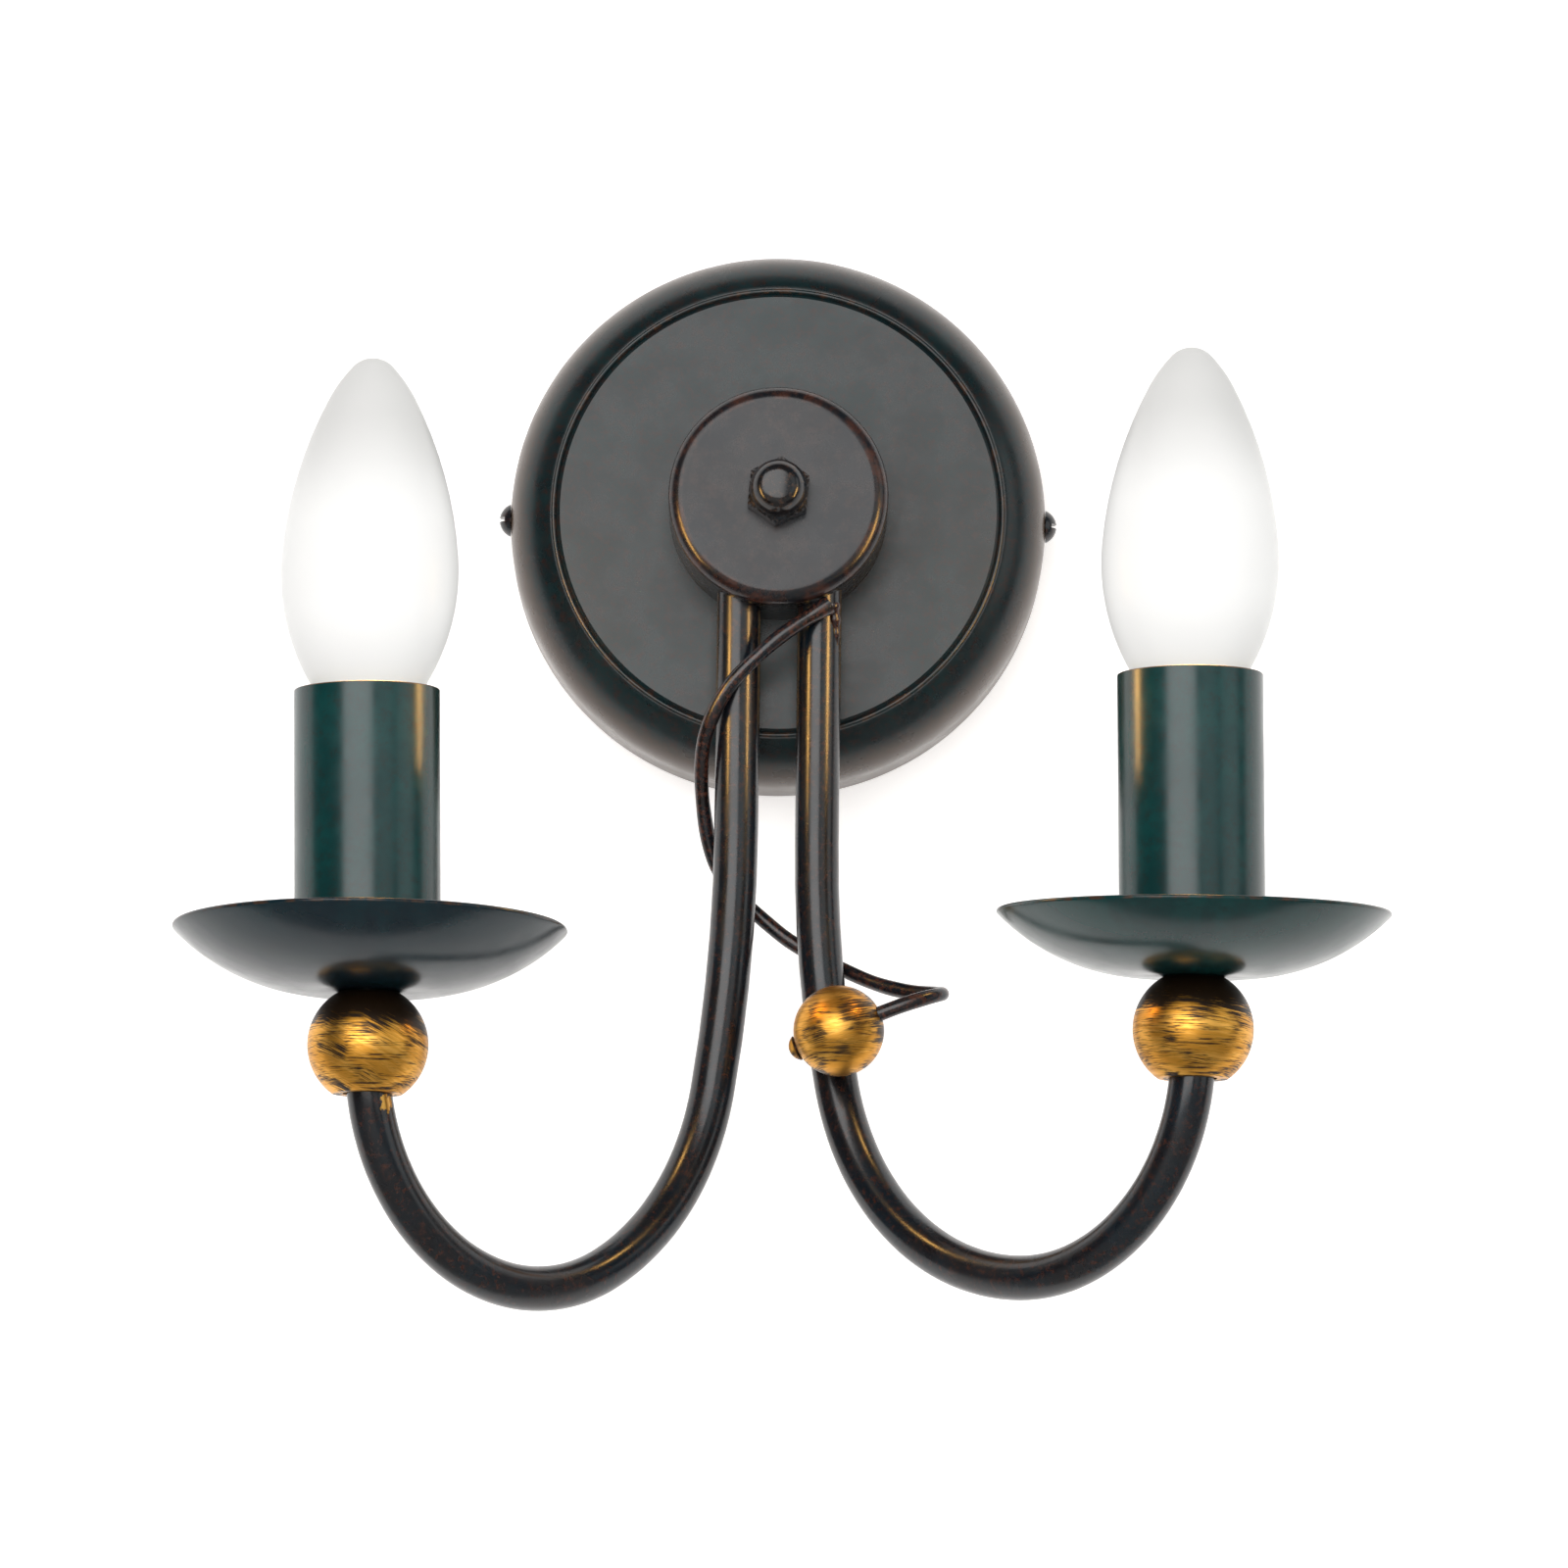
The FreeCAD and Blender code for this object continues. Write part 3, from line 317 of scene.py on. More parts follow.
@dataclass(frozen=True)
class Effect:
    """Shader node group that more than one finish uses, built once.

    Attributes:
        name: the group's name.
        inputs: name, socket type and first value of each input.
        outputs: name of each output, all plain values.
        draw: draws the nodes between the group's inputs and outputs.
    """

    name: str
    inputs: tuple[tuple[str, str, object], ...]
    outputs: tuple[str, ...]
    draw: Callable[[Tree, dict[str, Socket], Node], None]

    def group(self) -> bpy.types.NodeTree:
        """Find the group, or build it the first time.

        Returns:
            The group's tree.
        """
        known = bpy.data.node_groups.get(self.name)
        if known is not None:
            return known
        group = bpy.data.node_groups.new(self.name, "ShaderNodeTree")
        for name, kind, value in self.inputs:
            socket = group.interface.new_socket(name, in_out="INPUT", socket_type=kind)
            socket.default_value = value
        for name in self.outputs:
            group.interface.new_socket(name, in_out="OUTPUT", socket_type="NodeSocketFloat")
        start = group.nodes.new("NodeGroupInput")
        end = group.nodes.new("NodeGroupOutput")
        given = {socket.name: socket for socket in start.outputs if socket.name}
        self.draw(Tree(group), given, end)
        return group

    def put(self, tree: Tree, **values: object) -> Node:
        """Place the group in a material.

        Args:
            tree: the material's tree.
            **values: value or output for each named input.

        Returns:
            The group node.
        """
        node = tree.add("Group")
        node.node_tree = self.group()
        tree.fill(node, **values)
        return node


def draw_speckle(tree: Tree, given: dict[str, Socket], end: Node) -> None:
    """Draw irregular specks: one cloud broken up by a finer one.

    Args:
        tree: the group's tree.
        given: the group's inputs by name.
        end: the node that takes the group's outputs.
    """
    coarse = tree.noise(given["Vector"], given["Scale"], detail=5.0, lumps=0.62)
    finer = tree.math("MULTIPLY", given["Scale"], 4.3)
    fine = tree.noise(given["Vector"], finer, detail=2.0, lumps=0.5)
    both = tree.weigh(coarse, fine, share=0.25)
    tree.fill(end, Mask=tree.remap(both, given["From"], given["To"]))


def draw_strokes(tree: Tree, given: dict[str, Socket], end: Node) -> None:
    """Draw thin strokes round the Z axis, broken along their length.

    Args:
        tree: the group's tree.
        given: the group's inputs by name.
        end: the node that takes the group's outputs.
    """
    place = tree.stretch(given["Vector"], given["Along"], given["Across"])
    lines = tree.noise(place, 1.0, detail=4.0, lumps=0.65)
    wide = tree.stretch(place, along=0.35, across=0.22)
    gaps = tree.noise(wide, 1.0, detail=2.0, lumps=0.5)
    both = tree.weigh(lines, gaps, share=0.35)
    tree.fill(end, Mask=tree.remap(both, given["From"], given["To"]), Height=lines)


def draw_film(tree: Tree, given: dict[str, Socket], end: Node) -> None:
    """Draw the uneven film of a sprayed or handled surface.

    Args:
        tree: the group's tree.
        given: the group's inputs by name.
        end: the node that takes the group's outputs.
    """
    clouds = tree.noise(given["Vector"], given["Scale"], lumps=0.6)
    tree.fill(end, Roughness=tree.remap(clouds, 0.35, 0.68, given["Low"], given["High"]))
    peel = tree.math("MULTIPLY", given["Scale"], 9.0)
    tree.fill(end, Height=tree.noise(given["Vector"], peel, detail=2.0, lumps=0.5))


def draw_wear(tree: Tree, given: dict[str, Socket], end: Node) -> None:
    """Draw where edges are rubbed, more or less along them.

    Args:
        tree: the group's tree.
        given: the group's inputs by name.
        end: the node that takes the group's outputs.
    """
    edges = tree.add("Attribute", attribute_name=RUB).outputs["Fac"]
    breaks = tree.noise(given["Vector"], given["Scale"], detail=4.0, lumps=0.7)
    uneven = tree.math("MULTIPLY", edges, tree.remap(breaks, 0.3, 0.7, low=0.1, high=1.6))
    tree.fill(end, Mask=tree.remap(uneven, given["From"], given["To"]))


VECTOR = ("Vector", "NodeSocketVector", (0.0, 0.0, 0.0))
NUMBER = "NodeSocketFloat"
SPECKLE = Effect("Paint speckle", (VECTOR, ("Scale", NUMBER, 500.0), ("From", NUMBER, 0.45),
                                   ("To", NUMBER, 0.6)), ("Mask",), draw_speckle)
STROKES = Effect("Brush strokes", (VECTOR, ("Along", NUMBER, 60.0), ("Across", NUMBER, 1500.0),
                                   ("From", NUMBER, 0.45), ("To", NUMBER, 0.6)),
                 ("Mask", "Height"), draw_strokes)
FILM = Effect("Surface film", (VECTOR, ("Scale", NUMBER, 120.0), ("Low", NUMBER, 0.2),
                               ("High", NUMBER, 0.35)), ("Roughness", "Height"), draw_film)
WEAR = Effect("Edge wear", (VECTOR, ("Scale", NUMBER, 260.0), ("From", NUMBER, 0.25),
                            ("To", NUMBER, 1.1)), ("Mask",), draw_wear)


# ---- finishes ---------------------------------------------------------------------
@dataclass(frozen=True)
class Finish:
    """Surface finish of some pieces.

    Attributes:
        slot: the record's material slot.
        title: what a maker calls this finish.
    """

    slot: str
    title: str

    def material(self) -> Material:
        """Find this finish's material, or build it the first time.

        Returns:
            The material.
        """
        known = bpy.data.materials.get(self.title)
        if known is not None:
            return known
        material = bpy.data.materials.new(self.title)
        material.use_nodes = True
        material.node_tree.nodes.clear()
        tree = Tree(material.node_tree)
        shader = tree.add("BsdfPrincipled")
        tree.feed(tree.add("OutputMaterial").inputs["Surface"], shader.outputs[0])
        self.dress(tree, shader)
        return material

    def dress(self, tree: Tree, shader: Node) -> None:
        """Draw the nodes that feed the shader.

        Args:
            tree: the material's tree.
            shader: the node that takes colour, roughness and relief.
        """
        raise NotImplementedError

    def put_on(self, piece: Piece) -> None:
        """Give a piece this finish as its only material."""
        piece.data.materials.clear()
        piece.data.materials.append(self.material())


@dataclass(frozen=True)
class Lacquer(Finish):
    """Dark antique lacquer over metal, rubbed through in places.

    Attributes:
        base: the lacquer's own colour.
        fleck: colour of the specks.
        haze: colour of the wide clouds.
        rubbed: colour where edges are worn.
        haze_scale: clouds in a metre.
        haze_range: where in the clouds the haze starts and is full.
        fleck_scale: specks in a metre.
        fleck_range: where in the specks' cloud they start and are full.
        roughness: least and most roughness.
        coat: strength of the clear coat.
        coat_roughness: roughness of the clear coat.
        lines: turned lines in a metre, or 0 for none.
        line_breaks: breaks of the turned lines in a metre.
        relief: depth of the relief in millimetres.
        specular: strength of the lacquer's own reflection.
        stretch: how far turned lines draw a reflection out along the axis.
        wear: how sharp an edge is, per millimetre, where its wear starts and is full.
    """

    base: Colour = (0.005, 0.005, 0.007)
    fleck: Colour = (0.045, 0.014, 0.008)
    haze: Colour = (0.003, 0.008, 0.013)
    rubbed: Colour = (0.16, 0.075, 0.03)
    haze_scale: float = 55.0
    haze_range: Pair = (0.42, 0.6)
    fleck_scale: float = 750.0
    fleck_range: Pair = (0.5, 0.66)
    roughness: Pair = (0.23, 0.31)
    coat: float = 0.2
    coat_roughness: float = 0.16
    lines: float = 0.0
    line_breaks: float = 25.0
    relief: float = 0.012
    specular: float = 0.38
    stretch: float = 0.0
    wear: Pair = (0.25, 1.1)

    def dress(self, tree: Tree, shader: Node) -> None:
        """Draw clouds, specks, turned lines and worn edges.

        Args:
            tree: the material's tree.
            shader: the node that takes them.
        """
        place = tree.place()
        clouds = SPECKLE.put(tree, Vector=place, Scale=self.haze_scale,
                             From=self.haze_range[0], To=self.haze_range[1])
        colour = tree.blend(clouds.outputs["Mask"], self.base, self.haze)
        specks = SPECKLE.put(tree, Vector=place, Scale=self.fleck_scale,
                             From=self.fleck_range[0], To=self.fleck_range[1])
        film = FILM.put(tree, Vector=place, Low=self.roughness[0], High=self.roughness[1])
        share = specks.outputs["Mask"]
        height = tree.math("ADD", tree.math("MULTIPLY", share, 0.5), film.outputs["Height"])
        if self.lines:
            turned_lines = STROKES.put(tree, Vector=place, Along=self.line_breaks,
                                       Across=self.lines).outputs["Height"]
            share = tree.math("MULTIPLY", share, turned_lines)
            height = tree.math("ADD", tree.math("MULTIPLY", height, 0.15), turned_lines)
        colour = tree.blend(share, colour, self.fleck)
        worn = WEAR.put(tree, Vector=place, From=self.wear[0], To=self.wear[1])
        tree.fill(shader, Base_Color=tree.blend(worn.outputs["Mask"], colour, self.rubbed),
                  Roughness=film.outputs["Roughness"], Normal=tree.bump(height, 0.5, self.relief),
                  Coat_Weight=self.coat, Coat_Roughness=self.coat_roughness,
                  Specular_IOR_Level=self.specular)
        if self.stretch:
            axis = tree.add("Tangent", direction_type="RADIAL", axis="Z")
            tree.fill(shader, Anisotropic=self.stretch, Tangent=axis.outputs[0])


@dataclass(frozen=True)
class DabbedLacquer(Lacquer):
    """Lacquer with one dab of gold paint left by the brush.

    Attributes:
        dab: middle of the dab in the row frame, in millimetres.
        spread: radius of the dab in millimetres.
        grain: lumps of its edge in a metre.
        ragged: how far its edge wanders, as a share of the spread.
        edge: where the paint is full and ends, as shares of the spread.
        gold: colour of the paint.
        metal: how metallic the paint is.
    """

    dab: Place = (0.0, 0.0, 0.0)
    spread: float = 1.7
    grain: float = 900.0
    ragged: float = 2.4
    edge: Pair = (2.05, 2.2)
    gold: Colour = (0.5, 0.26, 0.05)
    metal: float = 0.9

    def dress(self, tree: Tree, shader: Node) -> None:
        """Draw the lacquer, then the dab with its ragged edge.

        Args:
            tree: the material's tree.
            shader: the node that takes them.
        """
        super().dress(tree, shader)
        place = tree.place()
        lacquer = shader.inputs["Base Color"].links[0].from_socket
        away = tree.add("VectorMath", operation="DISTANCE")
        tree.feed(away.inputs[0], place)
        tree.feed(away.inputs[1], tuple(value * MM for value in self.dab))
        wander = tree.math("MULTIPLY", tree.noise(place, self.grain, lumps=0.6),
                           self.ragged * self.spread * MM)
        reach = tree.math("ADD", away.outputs["Value"], wander)
        full, end = (share * self.spread * MM for share in self.edge)
        share = tree.remap(reach, full, end, low=1.0, high=0.0)
        tree.fill(shader, Base_Color=tree.blend(share, lacquer, self.gold),
                  Metallic=tree.math("MULTIPLY", share, self.metal))


@dataclass(frozen=True)
class RimmedLacquer(Lacquer):
    """Lacquer of a turned piece, painted browner towards its rim: partly worn lacquer, partly a
    painted warm sheen of the outer roll.

    Attributes:
        rim: radii in millimetres where the brown (worn lacquer and painted sheen) starts and is
            full.
        rim_clouds: clouds of the uneven brown in a metre.
        uneven: how far the brown's edge wanders, in millimetres.
        brown: colour of the rim, worn lacquer together with a painted warm sheen.
    """

    rim: Pair = (52.0, 56.2)
    rim_clouds: float = 160.0
    uneven: float = 1.5
    brown: Colour = (0.085, 0.05, 0.03)

    def dress(self, tree: Tree, shader: Node) -> None:
        """Draw the lacquer, then the brown of the rim (worn lacquer and painted sheen), uneven
        round the rim.

        Args:
            tree: the material's tree.
            shader: the node that takes them.
        """
        super().dress(tree, shader)
        place = tree.place()
        lacquer = shader.inputs["Base Color"].links[0].from_socket
        flat = tree.stretch(place, along=1.0, across=0.0)
        away = tree.add("VectorMath", operation="LENGTH")
        tree.feed(away.inputs[0], flat)
        wander = tree.math("MULTIPLY", tree.noise(place, self.rim_clouds, lumps=0.6),
                           self.uneven * MM)
        reach = tree.math("ADD", away.outputs["Value"], wander)
        # painted warm sheen: the outer roll is painted brown, partly worn lacquer, partly the warm
        # sheen it reflects
        share = tree.remap(reach, self.rim[0] * MM, self.rim[1] * MM)
        tree.fill(shader, Base_Color=tree.blend(share, lacquer, self.brown))


@dataclass(frozen=True)
class GoldLeaf(Finish):
    """Gold paint brushed over a dark ground, strokes round the piece's own Z axis.

    A brush is written as strokes in a metre along and across them.

    Attributes:
        gold: colour of the gold.
        bright: colour of its thickest strokes.
        ground: colour where the brush left gaps.
        level_brush: the brush that goes round the axis.
        slanted_brush: the brush that goes aslant.
        thick_brush: the brush that leaves the thickest strokes.
        thick_range: where its strokes start and are full.
        stroke_range: where in the strokes the gaps start and end.
        bare: heights in millimetres where the brush starts to miss and misses most.
        bare_gap: how much wider the gaps are there.
        slant: degrees by which some strokes lean about the Y axis.
        patch_scale: patches of thicker and thinner paint in a metre.
        patches: change of the gaps from patch to patch, least and most.
        field_scale: fields of level or slanted strokes in a metre.
        field_range: where the slanted strokes start and are alone.
        metal: how metallic the gaps and the gold are.
        shine: roughness of the low and the high strokes.
        relief: depth of the strokes in millimetres.
    """

    gold: Colour = (0.6, 0.275, 0.038)
    bright: Colour = (0.8, 0.42, 0.085)
    ground: Colour = (0.024, 0.012, 0.005)
    level_brush: Pair = (190.0, 4200.0)
    slanted_brush: Pair = (210.0, 4300.0)
    thick_brush: Pair = (130.0, 1500.0)
    thick_range: Pair = (0.4, 0.62)
    stroke_range: Pair = (0.39, 0.51)
    bare: Pair = (1.0, 9.2)
    bare_gap: float = 0.27
    slant: float = -27.0
    patch_scale: float = 150.0
    patches: Pair = (-0.03, 0.06)
    field_scale: float = 110.0
    field_range: Pair = (0.44, 0.54)
    metal: Pair = (0.6, 1.0)
    shine: Pair = (0.46, 0.34)
    relief: float = 0.03

    def brush(self, tree: Tree, place: Socket, brush: Pair, start: object, full: object) -> Node:
        """Draw one brush's strokes.

        Args:
            tree: the material's tree.
            place: place on the piece.
            brush: strokes in a metre along and across them.
            start: where the strokes start.
            full: where they are full.

        Returns:
            The group node of the strokes.
        """
        return STROKES.put(tree, Vector=place, Along=brush[0], Across=brush[1], From=start, To=full)

    def gaps(self, tree: Tree, place: Socket) -> Socket:
        """How much wider the gaps are, towards the top and from patch to patch.

        Args:
            tree: the material's tree.
            place: place on the piece.

        Returns:
            The change's output.
        """
        low, high = self.bare
        bare = tree.remap(tree.height(place), low * MM, high * MM, 0.0, self.bare_gap)
        patch = tree.noise(place, self.patch_scale, detail=2.0, lumps=0.5)
        return tree.math("ADD", bare, tree.remap(patch, 0.35, 0.65, *self.patches))

    def dress(self, tree: Tree, shader: Node) -> None:
        """Draw strokes round the piece, others aslant, and the gaps towards the top.

        Args:
            tree: the material's tree.
            shader: the node that takes them.
        """
        place = tree.place()
        turn = tree.add("VectorRotate", rotation_type="Y_AXIS")
        tree.fill(turn, Vector=place, Angle=math.radians(self.slant))
        aslant = turn.outputs[0]
        gaps = self.gaps(tree, place)
        start, full = (tree.math("ADD", gaps, mark) for mark in self.stroke_range)
        level = self.brush(tree, place, self.level_brush, start, full).outputs
        slanted = self.brush(tree, aslant, self.slanted_brush, start, full).outputs
        field_share = tree.remap(tree.noise(place, self.field_scale, detail=2.0, lumps=0.5),
                                 *self.field_range)
        strokes = tree.mix(field_share, level["Mask"], slanted["Mask"])
        height = tree.mix(field_share, level["Height"], slanted["Height"])
        thick = self.brush(tree, aslant, self.thick_brush, *self.thick_range)
        gold = tree.blend(thick.outputs["Mask"], self.gold, self.bright)
        tree.fill(shader, Base_Color=tree.blend(strokes, self.ground, gold),
                  Metallic=tree.remap(strokes, 0.0, 0.6, *self.metal),
                  Roughness=tree.remap(height, 0.3, 0.7, *self.shine),
                  Normal=tree.bump(height, 0.5, self.relief))


@dataclass(frozen=True)
class Plated(Finish):
    """Bare or plated metal with faint stains.

    Attributes:
        metal: colour of the clean metal.
        stain: colour of the stains.
        stain_scale: stains in a metre.
        stain_range: where in their cloud the stains start and are full.
        roughness: least and most roughness.
        lines: drawn or turned lines in a metre.
        line_breaks: breaks of those lines in a metre.
        relief: depth of the lines in millimetres.
    """

    metal: Colour = (0.6, 0.6, 0.58)
    stain: Colour = (0.4, 0.38, 0.34)
    stain_scale: float = 240.0
    stain_range: Pair = (0.45, 0.7)
    roughness: Pair = (0.24, 0.42)
    lines: float = 1800.0
    line_breaks: float = 160.0
    relief: float = 0.02

    def dress(self, tree: Tree, shader: Node) -> None:
        """Draw stains and fine lines on metal.

        Args:
            tree: the material's tree.
            shader: the node that takes them.
        """
        place = tree.place()
        stains = SPECKLE.put(tree, Vector=place, Scale=self.stain_scale,
                             From=self.stain_range[0], To=self.stain_range[1])
        film = FILM.put(tree, Vector=place, Scale=260.0, Low=self.roughness[0],
                        High=self.roughness[1])
        lines = STROKES.put(tree, Vector=place, Along=self.line_breaks, Across=self.lines)
        height = tree.math("ADD", lines.outputs["Height"], film.outputs["Height"])
        tree.fill(shader, Base_Color=tree.blend(stains.outputs["Mask"], self.metal, self.stain),
                  Roughness=film.outputs["Roughness"], Normal=tree.bump(height, 0.35, self.relief),
                  Metallic=1.0)


@dataclass(frozen=True)
class Moulded(Finish):
    """Moulded plastic, rubber, glaze or wire insulation.

    Attributes:
        base: colour of the material.
        shade: colour of its darker clouds and dust.
        shade_range: where in its cloud the shade starts and is full.
        roughness: least and most roughness.
        grain: grain in a metre.
        relief: depth of the grain in millimetres.
        coat: strength of a glaze.
    """

    base: Colour = (0.03, 0.03, 0.03)
    shade: Colour = (0.02, 0.02, 0.02)
    shade_range: Pair = (0.4, 0.7)
    roughness: Pair = (0.35, 0.5)
    grain: float = 300.0
    relief: float = 0.03
    coat: float = 0.0

    def dress(self, tree: Tree, shader: Node) -> None:
        """Draw soft clouds and a fine grain.

        Args:
            tree: the material's tree.
            shader: the node that takes them.
        """
        place = tree.place()
        clouds = SPECKLE.put(tree, Vector=place, Scale=self.grain * 0.4,
                             From=self.shade_range[0], To=self.shade_range[1])
        film = FILM.put(tree, Vector=place, Scale=self.grain, Low=self.roughness[0],
                        High=self.roughness[1])
        tree.fill(shader, Base_Color=tree.blend(clouds.outputs["Mask"], self.base, self.shade),
                  Roughness=film.outputs["Roughness"],
                  Normal=tree.bump(film.outputs["Height"], 0.3, self.relief),
                  Coat_Weight=self.coat)


@dataclass(frozen=True)
class StripedWire(Moulded):
    """Earth wire insulation: yellow stripes on green.

    Attributes:
        stripe: colour of the stripes.
        stripe_scale: how close the stripes are.
        waver: how far they stray from a straight line.
    """

    stripe: Colour = (0.62, 0.5, 0.03)
    stripe_scale: float = 70.0
    waver: float = 1.5

    def dress(self, tree: Tree, shader: Node) -> None:
        """Draw the clouds of plain insulation and the stripes over them.

        Args:
            tree: the material's tree.
            shader: the node that takes them.
        """
        super().dress(tree, shader)
        plain = shader.inputs["Base Color"].links[0].from_socket
        bands = tree.add("TexWave", wave_type="BANDS", bands_direction="DIAGONAL")
        tree.fill(bands, Vector=tree.place(), Scale=self.stripe_scale, Distortion=self.waver)
        share = tree.remap(bands.outputs[0], 0.45, 0.55)
        tree.fill(shader, Base_Color=tree.blend(share, plain, self.stripe))


@dataclass(frozen=True)
class FrostedGlow(Finish):
    """Frosted glass of a lit candle bulb, brightest round its middle.

    Attributes:
        core: height of the brightest part, in millimetres.
        rise: how far below and above the core's level the light grows, in millimetres.
        fall: how far above the core it starts to fade and is faint, in millimetres.
        least: share of the light near the bulb's foot.
        faint: colour of the light at the bulb's tip.
        bright: colour of the light at the core.
        frost: least and most colour of the frosting itself.
        swirl: uneven light in a metre, round the axis and along it.
        waver: height in millimetres by which the swirl shifts the light.
        roughness: least and most roughness.
        relief: depth of the frosting in millimetres.
        tint: colour that the outer frosting lets through, which draws the bulb's edge.
    """

    core: float = 93.0
    rise: Pair = (24.0, 6.0)
    fall: Pair = (9.0, 33.0)
    least: float = 0.4
    faint: Colour = (0.58, 0.575, 0.568)
    bright: Colour = (0.87, 0.865, 0.86)
    frost: tuple[Colour, Colour] = ((0.36, 0.357, 0.352), (0.4, 0.397, 0.39))
    swirl: Pair = (70.0, 18.0)
    waver: float = 8.0
    roughness: Pair = (0.3, 0.42)
    relief: float = 0.01
    tint: Colour = (0.85, 0.85, 0.845)

    def glow(self, tree: Tree, place: Socket) -> Socket:
        """Colour of the light along the bulb's own height.

        Args:
            tree: the material's tree.
            place: place on the bulb.

        Returns:
            The colour's output.
        """
        height = tree.height(place)
        swirl = tree.noise(tree.stretch(place, *self.swirl), 1.0, detail=1.0, lumps=0.4)
        shift = tree.math("MULTIPLY", tree.math("SUBTRACT", swirl, 0.5), self.waver * MM)
        height = tree.math("ADD", height, shift)
        up = tree.remap(height, (self.core - self.rise[0]) * MM, (self.core - self.rise[1]) * MM,
                        self.least, 1.0)
        down = tree.remap(height, (self.core + self.fall[0]) * MM,
                          (self.core + self.fall[1]) * MM, 1.0, 0.0)
        return tree.blend(tree.math("MULTIPLY", up, down), self.faint, self.bright)

    def dress(self, tree: Tree, shader: Node) -> None:
        """Draw the glow and the frosting.

        Args:
            tree: the material's tree.
            shader: the node that takes them.
        """
        place = tree.place()
        tree.fill(shader, Emission_Color=self.glow(tree, place), Emission_Strength=1.0)
        cloud = tree.noise(place, 90.0, detail=2.0, lumps=0.5)
        tree.fill(shader, Base_Color=tree.blend(cloud, *self.frost))
        film = FILM.put(tree, Vector=place, Scale=420.0, Low=self.roughness[0],
                        High=self.roughness[1])
        tree.fill(shader, Roughness=film.outputs["Roughness"],
                  Normal=tree.bump(film.outputs["Height"], 0.25, self.relief),
                  Specular_IOR_Level=0.08, Coat_Weight=1.0, Coat_Roughness=0.35, Coat_IOR=1.1,
                  Coat_Tint=self.tint)


@dataclass(frozen=True)
class ClearGlass(Finish):
    """Clear pressed glass with faint waves.

    Attributes:
        tints: least and most colour of the glass.
        roughness: least and most roughness.
        relief: depth of the waves in millimetres.
        clear: share of the light that passes.
    """

    tints: tuple[Colour, Colour] = ((0.9, 0.94, 0.93), (0.96, 0.98, 0.98))
    roughness: Pair = (0.02, 0.07)
    relief: float = 0.03
    clear: float = 0.9

    def dress(self, tree: Tree, shader: Node) -> None:
        """Draw the waves that pressed glass shows.

        Args:
            tree: the material's tree.
            shader: the node that takes them.
        """
        place = tree.place()
        film = FILM.put(tree, Vector=place, Scale=150.0, Low=self.roughness[0],
                        High=self.roughness[1])
        cloud = tree.noise(place, 200.0, detail=2.0, lumps=0.5)
        tree.fill(shader, Base_Color=tree.blend(cloud, *self.tints),
                  Roughness=film.outputs["Roughness"],
                  Normal=tree.bump(film.outputs["Height"], 0.2, self.relief),
                  Transmission_Weight=self.clear)


ARM_BRONZE = Lacquer("bronze", "Antique bronze lacquer")
LEFT_ARM_BRONZE = DabbedLacquer("bronze", "Antique bronze lacquer with a dab",
                                dab=(-75.9, -110.5, -131.9))
ROD_BRONZE = Lacquer("bronze", "Forged rod lacquer", base=(0.007, 0.005, 0.005),
                     fleck=(0.075, 0.024, 0.014), fleck_scale=900.0, fleck_range=(0.46, 0.62),
                     relief=0.03)
WELD_BRONZE = Lacquer("bronze", "Weld lacquer", base=(0.028, 0.009, 0.006),
                      fleck=(0.1, 0.03, 0.018), haze=(0.016, 0.006, 0.005), fleck_scale=1200.0,
                      relief=0.06)
HUB_BRONZE = Lacquer("bronze", "Hub lacquer", base=(0.006, 0.006, 0.008),
                     fleck=(0.026, 0.015, 0.014), haze=(0.004, 0.007, 0.011), fleck_scale=330.0,
                     fleck_range=(0.45, 0.7),
                     rubbed=(0.09, 0.028, 0.014), roughness=(0.25, 0.32), coat=0.18,
                     relief=0.003, specular=0.29, wear=(0.14, 0.8))
# the canopy's rim is painted brown: worn lacquer and a painted warm sheen
CANOPY_BRONZE = RimmedLacquer("canopy_bronze", "Canopy lacquer", base=(0.003, 0.01, 0.012),
                              fleck=(0.02, 0.009, 0.007), haze=(0.002, 0.015, 0.017),
                              rubbed=(0.06, 0.028, 0.014), fleck_scale=650.0,
                              fleck_range=(0.46, 0.66), roughness=(0.26, 0.33), coat=0.12,
                              coat_roughness=0.24, relief=0.001, specular=0.33, wear=(1.3, 2.9))
DISH_BRONZE = Lacquer("dish_bronze", "Gloss dish lacquer", base=(0.003, 0.013, 0.02),
                      fleck=(0.011, 0.014, 0.018), haze=(0.002, 0.018, 0.025),
                      rubbed=(0.05, 0.026, 0.016), fleck_scale=500.0, fleck_range=(0.56, 0.7),
                      roughness=(0.18, 0.26), coat=0.12, coat_roughness=0.17, relief=0.004,
                      specular=0.28, wear=(0.7, 3.2))
DISH_TEAL = Lacquer("dish_bronze", "Gloss teal dish lacquer", base=(0.002, 0.026, 0.027),
                    fleck=(0.004, 0.024, 0.024), haze=(0.001, 0.038, 0.037),
                    rubbed=(0.05, 0.026, 0.016), fleck_scale=500.0, fleck_range=(0.56, 0.7),
                    roughness=(0.18, 0.26), coat=0.18, coat_roughness=0.17, relief=0.004,
                    specular=0.26, wear=(0.7, 3.2))
